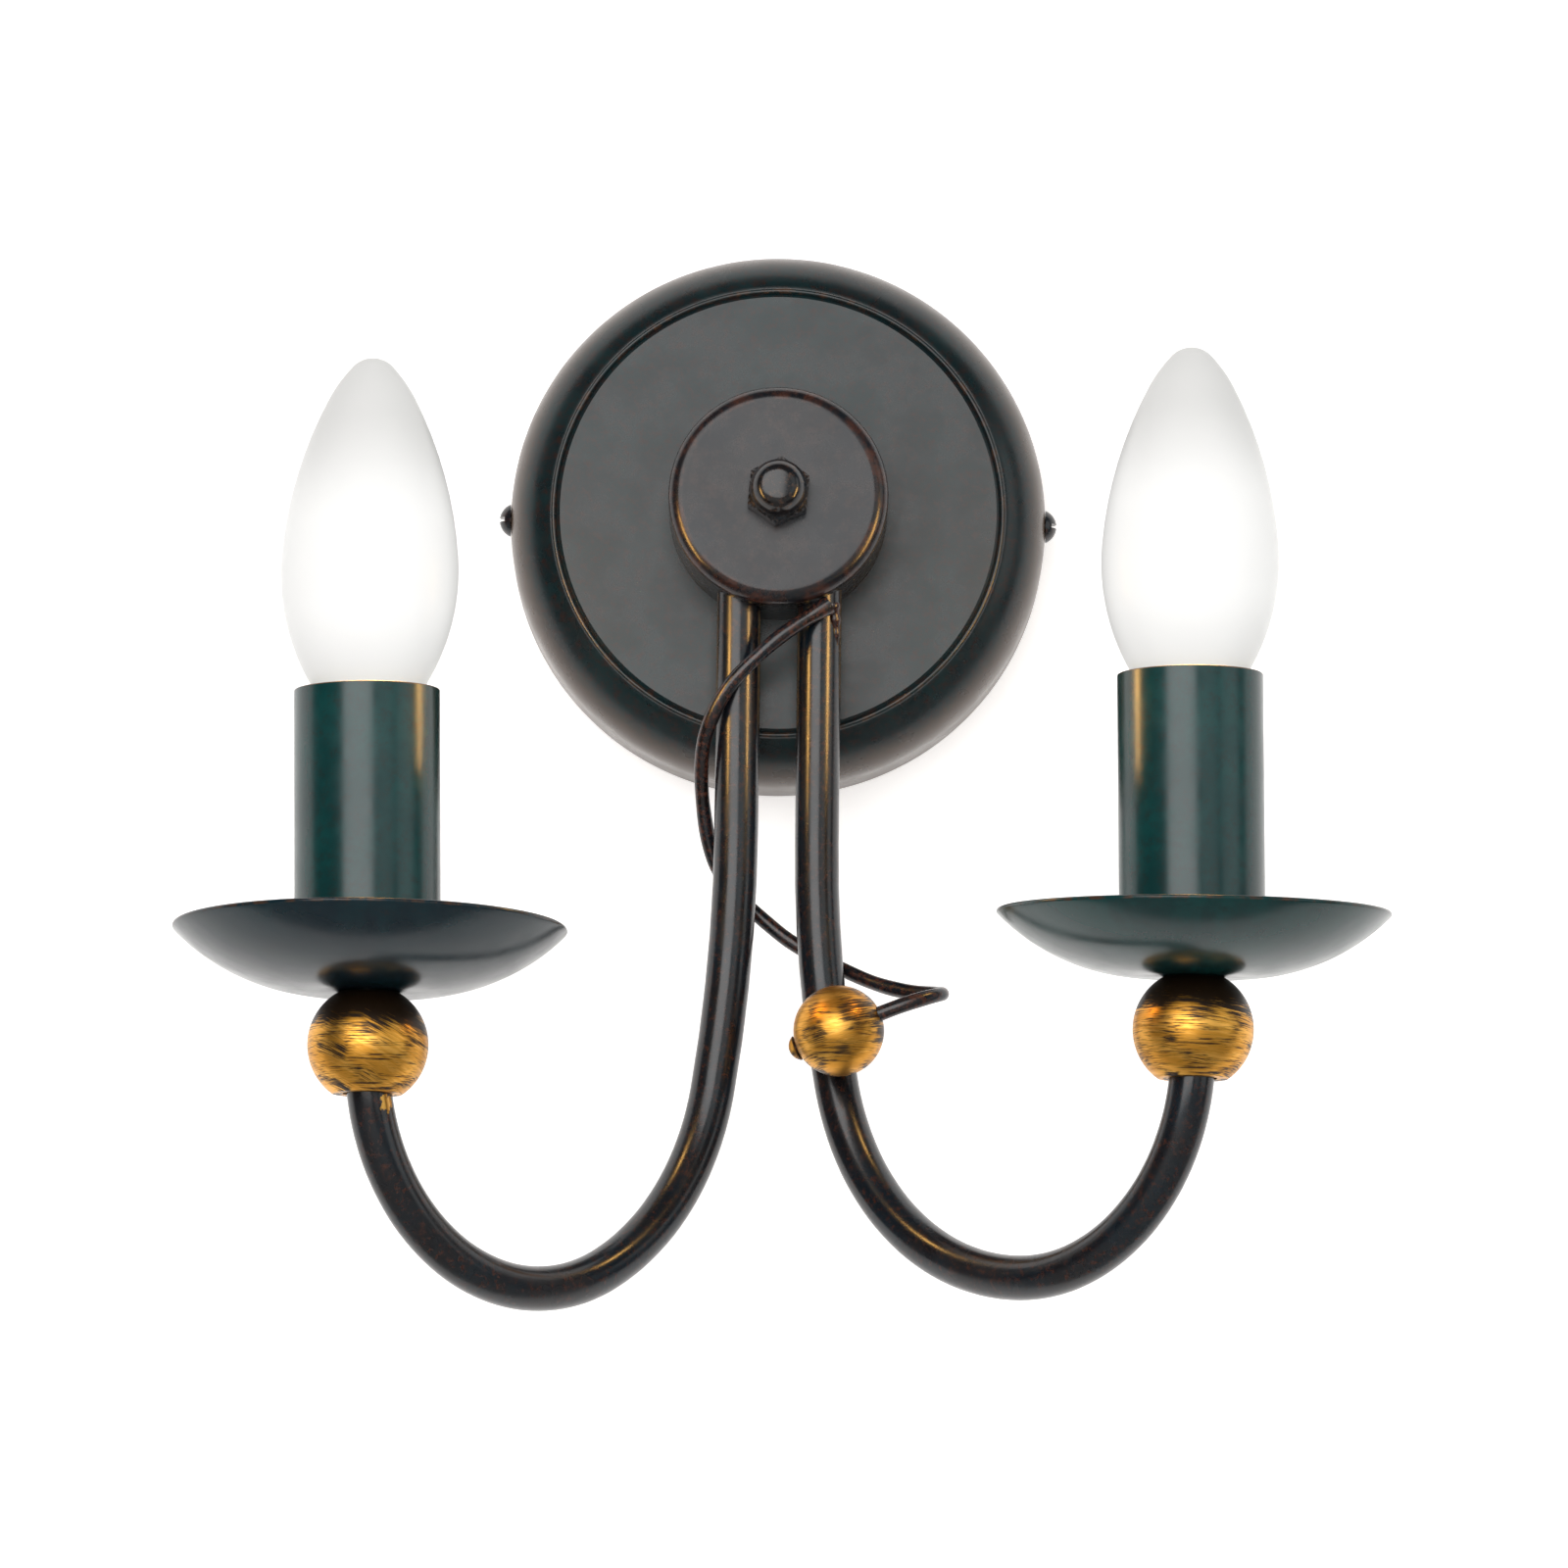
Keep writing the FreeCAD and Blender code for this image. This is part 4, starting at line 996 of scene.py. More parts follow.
SLEEVE_BRONZE = Lacquer("sleeve_bronze", "Turned sleeve lacquer", base=(0.001, 0.032, 0.032),
                        fleck=(0.01, 0.022, 0.021), haze=(0.001, 0.046, 0.044),
                        rubbed=(0.14, 0.07, 0.035), fleck_scale=420.0, fleck_range=(0.46, 0.64),
                        roughness=(0.16, 0.21), coat=0.0, lines=2200.0, relief=0.01,
                        specular=0.46, stretch=0.85, wear=(0.3, 1.8))
NUT_BRONZE = Lacquer("nut_bronze", "Gloss nut lacquer", base=(0.008, 0.006, 0.006),
                     fleck=(0.06, 0.03, 0.018), fleck_scale=800.0, roughness=(0.2, 0.28),
                     coat=0.18, relief=0.004, specular=0.34)
GOLD = GoldLeaf("gold_leaf", "Brushed gold leaf")
LEVEL_GOLD = GoldLeaf("gold_leaf", "Level brushed gold leaf", slant=-7.0)
ROD_GOLD = GoldLeaf("gold_leaf", "Dabbed gold leaf", ground=(0.05, 0.026, 0.009), bare_gap=0.0,
                    slant=14.0, stroke_range=(0.38, 0.52), patches=(-0.05, 0.1))
FROSTED = FrostedGlow("frosted_glass", "Frosted bulb glass")
SLOT_FINISHES: tuple[Finish, ...] = (
    ARM_BRONZE, CANOPY_BRONZE, DISH_BRONZE, SLEEVE_BRONZE, NUT_BRONZE, GOLD, FROSTED,
    Plated("zinc_steel", "Zinc plated steel", metal=(0.56, 0.57, 0.55), stain=(0.42, 0.4, 0.36)),
    Plated("contact_brass", "Contact brass", metal=(0.72, 0.5, 0.2), stain=(0.45, 0.27, 0.1)),
    Moulded("black_plastic", "Black moulded plastic", base=(0.022, 0.022, 0.023),
            shade=(0.032, 0.03, 0.028)),
    Moulded("ceramic", "White glazed ceramic", base=(0.78, 0.77, 0.72), shade=(0.68, 0.66, 0.6),
            roughness=(0.15, 0.3), coat=0.6),
    Moulded("block_plastic", "White block plastic", base=(0.74, 0.73, 0.68),
            shade=(0.64, 0.62, 0.56), roughness=(0.4, 0.55)),
    Moulded("black_rubber", "Grommet rubber", base=(0.018, 0.018, 0.018),
            shade=(0.04, 0.038, 0.035), roughness=(0.6, 0.8)),
    Moulded("brown_insulation", "Brown insulation", base=(0.11, 0.04, 0.015),
            shade=(0.07, 0.028, 0.012)),
    Moulded("blue_insulation", "Blue insulation", base=(0.02, 0.09, 0.36),
            shade=(0.015, 0.06, 0.25)),
    StripedWire("earth_insulation", "Striped insulation", base=(0.03, 0.2, 0.03),
                shade=(0.02, 0.14, 0.02)),
    ClearGlass("clear_glass", "Clear stem glass"),
    Moulded("black_glass", "Black glass insulator", base=(0.012, 0.011, 0.014),
            shade=(0.02, 0.018, 0.022), roughness=(0.08, 0.18), coat=1.0),
    Plated("nickel", "Nickel plate", metal=(0.66, 0.64, 0.58), stain=(0.5, 0.46, 0.4),
           roughness=(0.16, 0.3)),
    Plated("tungsten", "Tungsten wire", metal=(0.3, 0.29, 0.28), stain=(0.2, 0.19, 0.18)),
)


# ---- meshes -----------------------------------------------------------------------
class Outline:
    """Closed outline in (radius, height), in millimetres, drawn point by point."""

    def __init__(self, radius: float, height: float) -> None:
        """Start the outline at a point."""
        self.points: list[Pair] = [(radius, height)]

    def line(self, radius: float, height: float, hold: float = 0.25) -> Outline:
        """Straight run, with a point held near each end so that its shading stays flat.

        Args:
            radius: radius at the run's end.
            height: height at the run's end.
            hold: distance of the held points from the ends.

        Returns:
            This outline.
        """
        first = self.points[-1]
        length = math.dist(first, (radius, height))
        if length > 4 * hold:
            for share in (hold / length, 1 - hold / length):
                self.points.append((first[0] + (radius - first[0]) * share,
                                    first[1] + (height - first[1]) * share))
        self.points.append((radius, height))
        return self

    def round(self, radius: float, height: float, centre_radius: float, centre_height: float,
              step: float = 5.0) -> Outline:
        """Arc to a point about a centre, the short way round.

        Args:
            radius: radius at the arc's end.
            height: height at the arc's end.
            centre_radius: radius of the arc's centre.
            centre_height: height of the arc's centre.
            step: degrees between its points.

        Returns:
            This outline.
        """
        first = self.points[-1]
        start = math.atan2(first[1] - centre_height, first[0] - centre_radius)
        end = math.atan2(height - centre_height, radius - centre_radius)
        turn = (end - start + math.pi) % (2 * math.pi) - math.pi
        size = math.dist(first, (centre_radius, centre_height))
        count = max(3, math.ceil(abs(math.degrees(turn)) / step))
        for k in range(1, count + 1):
            angle = start + turn * k / count
            self.points.append((centre_radius + size * math.cos(angle),
                                centre_height + size * math.sin(angle)))
        return self

    def sharpness(self) -> list[float]:
        """How sharply the outline turns outwards at each point.

        Returns:
            The turn at each point in radians per millimetre, or 0 where it turns inwards.
        """
        shortest = 0.05
        around = list(zip(self.points[-1:] + self.points[:-1], self.points,
                          self.points[1:] + self.points[:1]))
        area = sum(a[0] * b[1] - b[0] * a[1] for a, b, _ in around)
        found = []
        for before, here, after in around:
            run_in = (here[0] - before[0], here[1] - before[1])
            run_out = (after[0] - here[0], after[1] - here[1])
            turn = math.atan2(run_in[0] * run_out[1] - run_in[1] * run_out[0],
                              run_in[0] * run_out[0] + run_in[1] * run_out[1])
            reach = max(math.hypot(*run_in) + math.hypot(*run_out), shortest) / 2
            outwards = max(math.copysign(turn, turn * area) / reach, 0.0)
            found.append(0.0 if here[0] < ON_AXIS else outwards)
        return found


def mesh_object(name: str, vertices: Sequence[Vector], faces: Sequence[Sequence[int]],
                crease: float = 32.0, rub: Sequence[float] = ()) -> Piece:
    """Closed mesh with smooth faces and its sharp edges kept.

    Args:
        name: the piece's name.
        vertices: points in millimetres, in the piece's own frame.
        faces: corners of each face.
        crease: an edge sharper than this many degrees stays sharp.
        rub: how sharp each point's edge is, per millimetre.

    Returns:
        The new object, at the origin.
    """
    mesh = bpy.data.meshes.new(name)
    mesh.from_pydata([tuple(Vector(v) * MM) for v in vertices], [], [tuple(f) for f in faces])
    if rub:
        mesh.attributes.new(RUB, "FLOAT", "POINT").data.foreach_set("value", rub)
    work = bmesh.new()
    work.from_mesh(mesh)
    bmesh.ops.remove_doubles(work, verts=work.verts, dist=MERGE)
    bmesh.ops.recalc_face_normals(work, faces=work.faces)
    work.to_mesh(mesh)
    work.free()
    mesh.shade_smooth()
    mesh.set_sharp_from_angle(angle=math.radians(crease))
    piece = bpy.data.objects.new(name, mesh)
    bpy.context.scene.collection.objects.link(piece)
    return piece


def turned(name: str, outline: Outline, segments: int = 144) -> Piece:
    """Turn an outline about the piece's own Z axis.

    Args:
        name: the piece's name.
        outline: the outline to turn.
        segments: faces in one turn.

    Returns:
        The new object, at the origin.
    """
    vertices: list[Vector] = []
    rings: list[list[int]] = []
    rub: list[float] = []
    for (radius, height), sharp in zip(outline.points, outline.sharpness()):
        first = len(vertices)
        if radius < ON_AXIS:
            vertices.append(Vector((0, 0, height)))
            rub.append(0.0)
            rings.append([first] * segments)
            continue
        for k in range(segments):
            angle = 2 * math.pi * k / segments
            vertices.append(Vector((radius * math.cos(angle), radius * math.sin(angle), height)))
            rub.append(sharp)
        rings.append(list(range(first, first + segments)))
    faces = []
    for ring, above in zip(rings, rings[1:] + rings[:1]):
        for k in range(segments):
            after = (k + 1) % segments
            corners = list(dict.fromkeys((ring[k], ring[after], above[after], above[k])))
            if len(corners) > 2:
                faces.append(corners)
    return mesh_object(name, vertices, faces, rub=rub)


def swept(name: str, route: Sequence[Vector], radius: float | Callable[[float], float],
          sides: int, bore: float = 0.0) -> Piece:
    """Round bar or tube along a line of points.

    Args:
        name: the piece's name.
        route: points in millimetres.
        radius: outer radius, or a function of the share of the length.
        sides: faces round the bar.
        bore: inner radius, or 0 for a solid bar.

    Returns:
        The new object, at the origin.
    """
    size = radius if callable(radius) else lambda share: radius
    lengths = [0.0]
    for before, after in zip(route, route[1:]):
        lengths.append(lengths[-1] + (after - before).length)
    heading = (route[1] - route[0]).normalized()
    square = heading.orthogonal().normalized()
    vertices: list[Vector] = []
    rings: list[list[int]] = []
    inner: list[list[int]] = []

    def ring(centre: Vector, across: Vector, up: Vector, reach: float) -> list[int]:
        """Add one ring of vertices.

        Args:
            centre: the ring's centre.
            across: direction of its first vertex.
            up: direction of the vertex a quarter turn on.
            reach: its radius.

        Returns:
            The vertices' numbers.
        """
        first = len(vertices)
        for k in range(sides):
            angle = 2 * math.pi * k / sides
            vertices.append(centre + (across * math.cos(angle) + up * math.sin(angle)) * reach)
        return list(range(first, first + sides))

    for k, point in enumerate(route):
        after = route[min(k + 1, len(route) - 1)]
        before = route[max(k - 1, 0)]
        ahead = (after - before).normalized()
        square = (square - ahead * square.dot(ahead)).normalized()
        up = ahead.cross(square)
        rings.append(ring(point, square, up, size(lengths[k] / lengths[-1])))
        if bore:
            inner.append(ring(point, square, up, bore))
    loops = rings + inner[::-1] + rings[:1] if bore else rings
    faces = [(a[k], a[(k + 1) % sides], b[(k + 1) % sides], b[k])
             for a, b in zip(loops, loops[1:]) for k in range(sides)]
    if not bore:
        faces += [tuple(reversed(rings[0])), tuple(rings[-1])]
    return mesh_object(name, vertices, faces)


def smooth_line(points: Sequence[Vector], steps: int = 10) -> list[Vector]:
    """Smooth curve near some points, read from a NURBS spline.

    Args:
        points: points in millimetres.
        steps: points on the curve for each given point.

    Returns:
        Points of the curve, in millimetres.
    """
    curve = bpy.data.curves.new("guide", "CURVE")
    curve.dimensions = "3D"
    spline = curve.splines.new("NURBS")
    spline.points.add(len(points) - 1)
    for held, point in zip(spline.points, points):
        held.co = (*point, 1.0)
    spline.order_u = 4
    spline.use_endpoint_u = True
    spline.resolution_u = steps
    guide = bpy.data.objects.new("guide", curve)
    mesh = bpy.data.meshes.new_from_object(guide)
    line = [vertex.co.copy() for vertex in mesh.vertices]
    bpy.data.objects.remove(guide)
    bpy.data.curves.remove(curve)
    bpy.data.meshes.remove(mesh)
    return line


def put(piece: Piece, place: Matrix, body: str, finish: Finish,
        *nodes: str) -> Piece:
    """Place a piece, finish it and let it stand for CAD nodes.

    Args:
        piece: the piece, made about its own origin.
        place: its place in the row frame.
        body: the CAD body that it moves with.
        finish: its finish.
        *nodes: the CAD nodes that it replaces.

    Returns:
        The piece.
    """
    piece.matrix_world = place
    finish.put_on(piece)
    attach(piece, body)
    if nodes:
        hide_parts(*nodes)
    log.info("%s: %d faces, on %s", piece.name, len(piece.data.polygons), body)
    return piece


def at(x: float, depth: float, z: float) -> Vector:
    """Point at a distance from the wall, in millimetres."""
    return Vector((x, -depth, z))


ON_WALL = Matrix.Rotation(math.radians(90), 4, "X")
IN_ROW_FRAME = Matrix.Identity(4)


# ---- sub-assemblies ---------------------------------------------------------------
@dataclass
class WallPlate:
    """Spun canopy on the wall: flat front, bead ring, and a rim that rolls off at a slope.

    Attributes:
        radius: outer radius.
        depth: distance of the front from the wall.
        sheet: thickness of the sheet.
        rim: width of the rim that rolls off.
        slope: degrees by which the rim already slopes at the bead.
        bead: radius of the bead's round top.
        bead_margin: distance from the bead's middle in to the end of the flat front.
        groove: depth of the bead's foot behind the front.
        step: how far the rim starts behind the front.
        stud_hole: radius of the hole for the stud.
    """

    radius: float = 55.5
    depth: float = 27.5
    sheet: float = 1.2
    rim: float = 8.4
    slope: float = 28.0
    bead: float = 0.6
    bead_margin: float = 1.32
    groove: float = 0.45
    step: float = 0.6
    stud_hole: float = 3.25

    def outline(self) -> Outline:
        """Section of the spun sheet.

        Returns:
            The outline, from the stud's hole round the outside and back inside.
        """
        front, inside = self.depth, self.depth - self.sheet
        start = self.radius - self.rim
        top = front - self.step
        lean = math.radians(self.slope)
        roll = self.rim / (1 - math.sin(lean))
        centre = (self.radius - roll, top - roll * math.cos(lean))
        under = roll - self.sheet
        bead = start - self.bead - 0.1
        face_end = bead - self.bead_margin
        foot = front - self.groove
        shell = Outline(self.stud_hole, front).line(face_end, front).line(bead - self.bead, foot)
        shell.round(bead, foot + self.bead, bead, foot, 15)
        shell.round(bead + self.bead, foot, bead, foot, 15)
        shell.line(start, top)
        shell.round(self.radius, centre[1], *centre, 3)
        shell.line(self.radius, 0.0).line(self.radius - self.sheet, 0.0)
        shell.line(self.radius - self.sheet, centre[1])
        shell.round(centre[0] + under * math.sin(lean), centre[1] + under * math.cos(lean),
                    *centre, 3)
        shell.line(face_end, inside - self.groove).line(face_end - 2 * self.groove, inside)
        return shell.line(self.stud_hole, inside)

    def build(self) -> None:
        """Turn the canopy and put it on the wall."""
        put(turned("canopy_shell", self.outline(), 240), ON_WALL, FIXTURE, CANOPY_BRONZE, "canopy")


@dataclass
class Hub:
    """Drum on the canopy that holds both arms, with its acorn nut.

    Attributes:
        radius: outer radius of the drum.
        foot: distance of the drum's foot from the wall.
        length: length of the drum.
        wall: thickness of its wall.
        edge: radius of its round front edge.
        stud_hole: radius of the hole for the stud.
        across_flats: width of the nut's hexagon.
        hexagon: height of the hexagon.
        foot_chamfer: height of the chamfer at the hexagon's foot.
        top_chamfer: height of the chamfer at its top.
        collar: radius of the collar above it.
        collar_height: height of the collar.
        dome: height of the dome above the collar.
        dome_fall: how squarely the dome's side falls, where 2 is an ellipse.
        top: radius of the dome's flat top.
        turn: degrees by which the hexagon is turned.
    """

    radius: float = 22.5
    foot: float = 27.5
    length: float = 24.5
    wall: float = 2.0
    edge: float = 3.0
    stud_hole: float = 3.25
    across_flats: float = 12.0
    hexagon: float = 6.5
    foot_chamfer: float = 0.6
    top_chamfer: float = 0.9
    collar: float = 5.8
    collar_height: float = 2.0
    dome: float = 4.5
    dome_fall: float = 1.7
    top: float = 2.75
    turn: float = 25.0

    def build_drum(self) -> None:
        """Turn the drum and put it on the canopy."""
        front = self.foot + self.length
        inner, lip = self.radius - self.wall, max(self.edge - self.wall, 0.5)
        drum = Outline(self.stud_hole, front).line(self.radius - self.edge, front)
        drum.round(self.radius, front - self.edge, self.radius - self.edge, front - self.edge, 6)
        drum.line(self.radius, self.foot).line(inner, self.foot)
        drum.line(inner, front - self.wall - lip)
        drum.round(inner - lip, front - self.wall, inner - lip, front - self.wall - lip)
        drum.line(self.stud_hole, front - self.wall)
        put(turned("hub_drum", drum, 160), ON_WALL, FIXTURE, HUB_BRONZE, "hub_cup")

    def nut_radius(self, angle: float, height: float) -> float:
        """Radius of the acorn nut.

        Args:
            angle: angle round its axis, in degrees.
            height: height above its foot.

        Returns:
            The radius at that place.
        """
        flat = self.across_flats / 2
        corner = flat / math.cos(math.radians(30))
        if height <= self.hexagon:
            prism = flat / math.cos(math.radians((angle - self.turn) % 60 - 30))
            below_top = self.hexagon - height
            low = flat + (corner - flat) * min(height / self.foot_chamfer, 1.0)
            high = self.collar + (corner - self.collar) * min(below_top / self.top_chamfer, 1.0)
            return min(prism, low, high)
        if height <= self.hexagon + self.collar_height:
            return self.collar
        share = (height - self.hexagon - self.collar_height) / self.dome
        fall = math.sqrt(max(1 - share ** self.dome_fall, 0.0))
        return self.top + (self.collar - self.top) * fall

    def build_nut(self) -> None:
        """Build the acorn nut ring by ring, with rings held close beside its edges."""
        count, dome_rings, held = 144, 16, 0.15
        foot_end, top_start = self.foot_chamfer, self.hexagon - self.top_chamfer
        shoulder = self.hexagon + self.collar_height
        heights = [0, foot_end / 2, foot_end, foot_end + held, self.hexagon / 2 - 0.25,
                   top_start - held, top_start, top_start + self.top_chamfer / 2,
                   self.hexagon - 0.1, self.hexagon, self.hexagon + 0.02,
                   self.hexagon + 2 * held, shoulder - 2 * held, shoulder]
        heights += [shoulder + self.dome * k / dome_rings for k in range(1, dome_rings + 1)]
        vertices: list[Vector] = []
        for height in heights:
            for k in range(count):
                angle = 360 * k / count + self.turn
                reach = self.nut_radius(angle, height)
                way = math.radians(angle)
                vertices.append(Vector((reach * math.cos(way), reach * math.sin(way), height)))
        faces = [(level * count + k, level * count + (k + 1) % count,
                  (level + 1) * count + (k + 1) % count, (level + 1) * count + k)
                 for level in range(len(heights) - 1) for k in range(count)]
        last = (len(heights) - 1) * count
        faces += [tuple(range(count - 1, -1, -1)), tuple(range(last, last + count))]
        nut = mesh_object("acorn_nut", vertices, faces, 24.0)
        place = ON_WALL @ Matrix.Translation((0, 0, (self.foot + self.length) * MM))
        put(nut, place, FIXTURE, NUT_BRONZE, "cap_nut")


@dataclass
class Arm:
    """One tube: a leg down from the hub, three bends in one plane and a short rise.

    Attributes:
        side: the side that it reaches to.
        leg_x: X of the leg.
        leg_length: length of the straight leg below the hub.
        bends: radius and degrees of each bend.
        rise: straight rise from the last bend to the ball's centre.
        radius: outer radius of the tube.
        bore: inner radius.
        depth: distance of the leg from the wall.
        plane: degrees by which the bends' plane stands out from the wall.
        start_z: Z of the leg's start under the hub.
        tail: length of tube above that, inside the hub.
        top: length of tube above the last bend, up to the lampholder.
        finish: finish of the tube.
    """

    side: Side
    leg_x: float
    leg_length: float
    bends: tuple[Pair, ...]
    rise: float
    radius: float = 4.5
    bore: float = 3.5
    depth: float = 42.0
    plane: float = 42.5
    start_z: float = -22.0
    tail: float = 7.5
    top: float = 20.8
    finish: Finish = ARM_BRONZE

    def place(self, out: float, z: float) -> Vector:
        """Point of the arm's plane.

        Args:
            out: distance out from the leg.
            z: its Z.

        Returns:
            The point in the row frame.
        """
        way = math.radians(self.plane)
        x = self.leg_x + self.side.sign * out * math.cos(way)
        return at(x, self.depth + out * math.sin(way), z)

    def bend_points(self) -> tuple[list[Pair], Pair]:
        """Centreline in the arm's plane.

        Returns:
            Points as (out, z) from the leg to the last bend, and the ball's centre.
        """
        out, z, heading = 0.0, self.start_z - self.leg_length, 0.0
        points = [(0.0, level) for level in
                  (self.start_z + self.tail, (self.start_z + z) / 2, z + 1.0, z)]
        for radius, degrees in self.bends:
            end = heading + math.radians(degrees)
            count = max(4, math.ceil(degrees / BEND_STEP))
            for k in range(1, count + 1):
                angle = heading + (end - heading) * k / count
                points.append((out + radius * (math.cos(heading) - math.cos(angle)),
                               z - radius * (math.sin(angle) - math.sin(heading))))
            out, z = points[-1]
            heading = end
        return points, (out, z + self.rise)

    def centre(self) -> Vector:
        """Centre of the ball at the arm's end, in millimetres."""
        return self.place(*self.bend_points()[1])

    def route(self) -> list[Vector]:
        """Centreline in the row frame, up to the lampholder."""
        points, (out, z) = self.bend_points()
        return [self.place(*point) for point in points + [(out, z), (out, z + self.top)]]

    def build(self) -> None:
        """Bend the tube."""
        tube = swept(f"arm_tube_{self.side.word}", self.route(), self.radius, 56, self.bore)
        put(tube, IN_ROW_FRAME, FIXTURE, self.finish, f"arm_{self.side.word}")


@dataclass
class Candle:
    """Ball, drip dish, candle sleeve and bulb glass on one arm's end.

    Attributes:
        arm: the arm that carries it.
        tilt: degrees by which the dish tips away from the wall, or towards it below 0.
        dish_finish: finish of the dish.
        ball_finish: finish of the ball.
        lean: degrees by which the sleeve leans to the left on its ball.
        askew: how far right of its axis and how high the glass stands above its neck.
        ball_radius: radius of the ball.
        ball_top: height of the ball's flat top above its centre.
        ball_bottom: depth of its flat bottom below its centre.
        countersink: how much wider the hole is at the bottom, and how far up.
        dish_radius: radius of the dish.
        dish_height: height of the dish.
        dish_floor: radius of its flat floor.
        sheet: thickness of the dish.
        bore: radius of the hole for the tube.
        sleeve_radius: outer radius of the sleeve.
        sleeve_wall: thickness of the sleeve.
        sleeve_edge: rounding of its top edge.
        sleeve_foot: height of its foot above the ball's centre.
        sleeve_top: height of its top above the ball's centre.
        bulb_tip: height of the bulb's tip above the ball's centre.
        bulb_neck: radius of the glass where it meets its cap.
        glass_length: length of the glass.
        glass: thickness of the glass.
        swell: share by which the glass is wider than usual above the sleeve.
        bulb_bends: radius and degrees of each arc of the glass from its tip.
    """

    arm: Arm
    tilt: float
    dish_finish: Finish
    ball_finish: Finish
    lean: float
    askew: Pair
    ball_radius: float = 12.0
    ball_top: float = 10.4
    ball_bottom: float = 9.75
    countersink: Pair = (0.3, 2.0)
    dish_radius: float = 39.0
    dish_height: float = 12.4
    dish_floor: float = 9.6
    sheet: float = 1.0
    bore: float = 4.55
    sleeve_radius: float = 14.5
    sleeve_wall: float = 1.0
    sleeve_edge: float = 0.2
    sleeve_foot: float = 12.3
    sleeve_top: float = 70.8
    bulb_tip: float = 136.4
    bulb_neck: float = 7.4
    glass_length: float = 76.0
    glass: float = 0.8
    swell: float = 0.025
    bulb_bends: tuple[Pair, ...] = ((5.3, 47.8), (29.2, 15.6), (84.7, 22.2), (45.0, 40.7))

    def place(self) -> Matrix:
        """Frame of the candle: its axis, with the ball's centre as the origin."""
        return Matrix.Translation(self.arm.centre() * MM)

    def name(self, piece: str) -> str:
        """Name of a piece on this side."""
        return f"{piece}_{self.arm.side.word}"

    def build_ball(self) -> None:
        """Turn the ball, flat at top and bottom."""
        top = math.sqrt(self.ball_radius ** 2 - self.ball_top ** 2)
        bottom = math.sqrt(self.ball_radius ** 2 - self.ball_bottom ** 2)
        wider, deep = self.countersink
        ball = Outline(self.bore + wider, -self.ball_bottom).line(bottom, -self.ball_bottom, 0.2)
        ball.round(self.ball_radius, 0, 0, 0, 4).round(top, self.ball_top, 0, 0, 4)
        ball.line(self.bore, self.ball_top, 0.2).line(self.bore, -self.ball_bottom + deep)
        put(turned(self.name("gold_ball"), ball, 128), self.place(), FIXTURE, self.ball_finish,
            self.name("candle_ball"))

    def dish_outline(self) -> Outline:
        """Section of the spun dish: flat floor, one curve, rounded rim.

        Returns:
            The outline, from the bore along the underside and back inside.
        """
        run = self.dish_radius - self.dish_floor
        outer = (run ** 2 + self.dish_height ** 2) / (2 * self.dish_height)
        steep = math.asin(run / outer)
        seat, middle = self.ball_top, self.ball_top + outer

        def mark(radius: float, angle: float, beyond: float = 0.0) -> Pair:
            """Point of the section on a curve about the curve's centre.

            Args:
                radius: radius of the curve.
                angle: angle from straight down, in radians.
                beyond: distance beyond the point, along the curve.

            Returns:
                The point as (radius, height).
            """
            return (self.dish_floor + radius * math.sin(angle) + beyond * math.cos(angle),
                    middle - radius * math.cos(angle) + beyond * math.sin(angle))

        centre = (self.dish_floor, middle)
        half = self.sheet / 2
        rim = mark(outer - half, steep)
        dish = Outline(self.bore, seat).line(self.dish_floor, seat)
        dish.round(*mark(outer, steep), *centre, 1.5)
        dish.round(*mark(outer - half, steep, half), *rim, 22)
        dish.round(*mark(outer - self.sheet, steep), *rim, 22)
        dish.round(*mark(outer - self.sheet, 0), *centre, 1.5)
        return dish.line(self.bore, seat + self.sheet)

    def build_dish(self) -> None:
        """Spin the dish and seat it, a little tilted, on the ball."""
        seat = Matrix.Translation((0, 0, self.ball_top * MM))
        tip = Matrix.Rotation(math.radians(self.tilt), 4, "X")
        tilted = self.place() @ seat @ tip @ seat.inverted()
        put(turned(self.name("spun_dish"), self.dish_outline(), 200), tilted, FIXTURE,
            self.dish_finish, self.name("drip_dish"))

    def build_sleeve(self) -> None:
        """Turn the candle sleeve, its top edge softened."""
        inner = self.sleeve_radius - self.sleeve_wall
        edge, top = self.sleeve_edge, self.sleeve_top
        sleeve = Outline(inner, self.sleeve_foot).line(self.sleeve_radius, self.sleeve_foot)
        sleeve.line(self.sleeve_radius, top - edge)
        sleeve.round(self.sleeve_radius - edge, top, self.sleeve_radius - edge, top - edge, 20)
        sleeve.line(inner + edge, top, 0.1).round(inner, top - edge, inner + edge, top - edge, 20)
        leaning = self.place() @ Matrix.Rotation(math.radians(-self.lean), 4, "Y")
        put(turned(self.name("turned_sleeve"), sleeve), leaning, self.name("sleeve"),
            SLEEVE_BRONZE, self.name("candle_sleeve"))

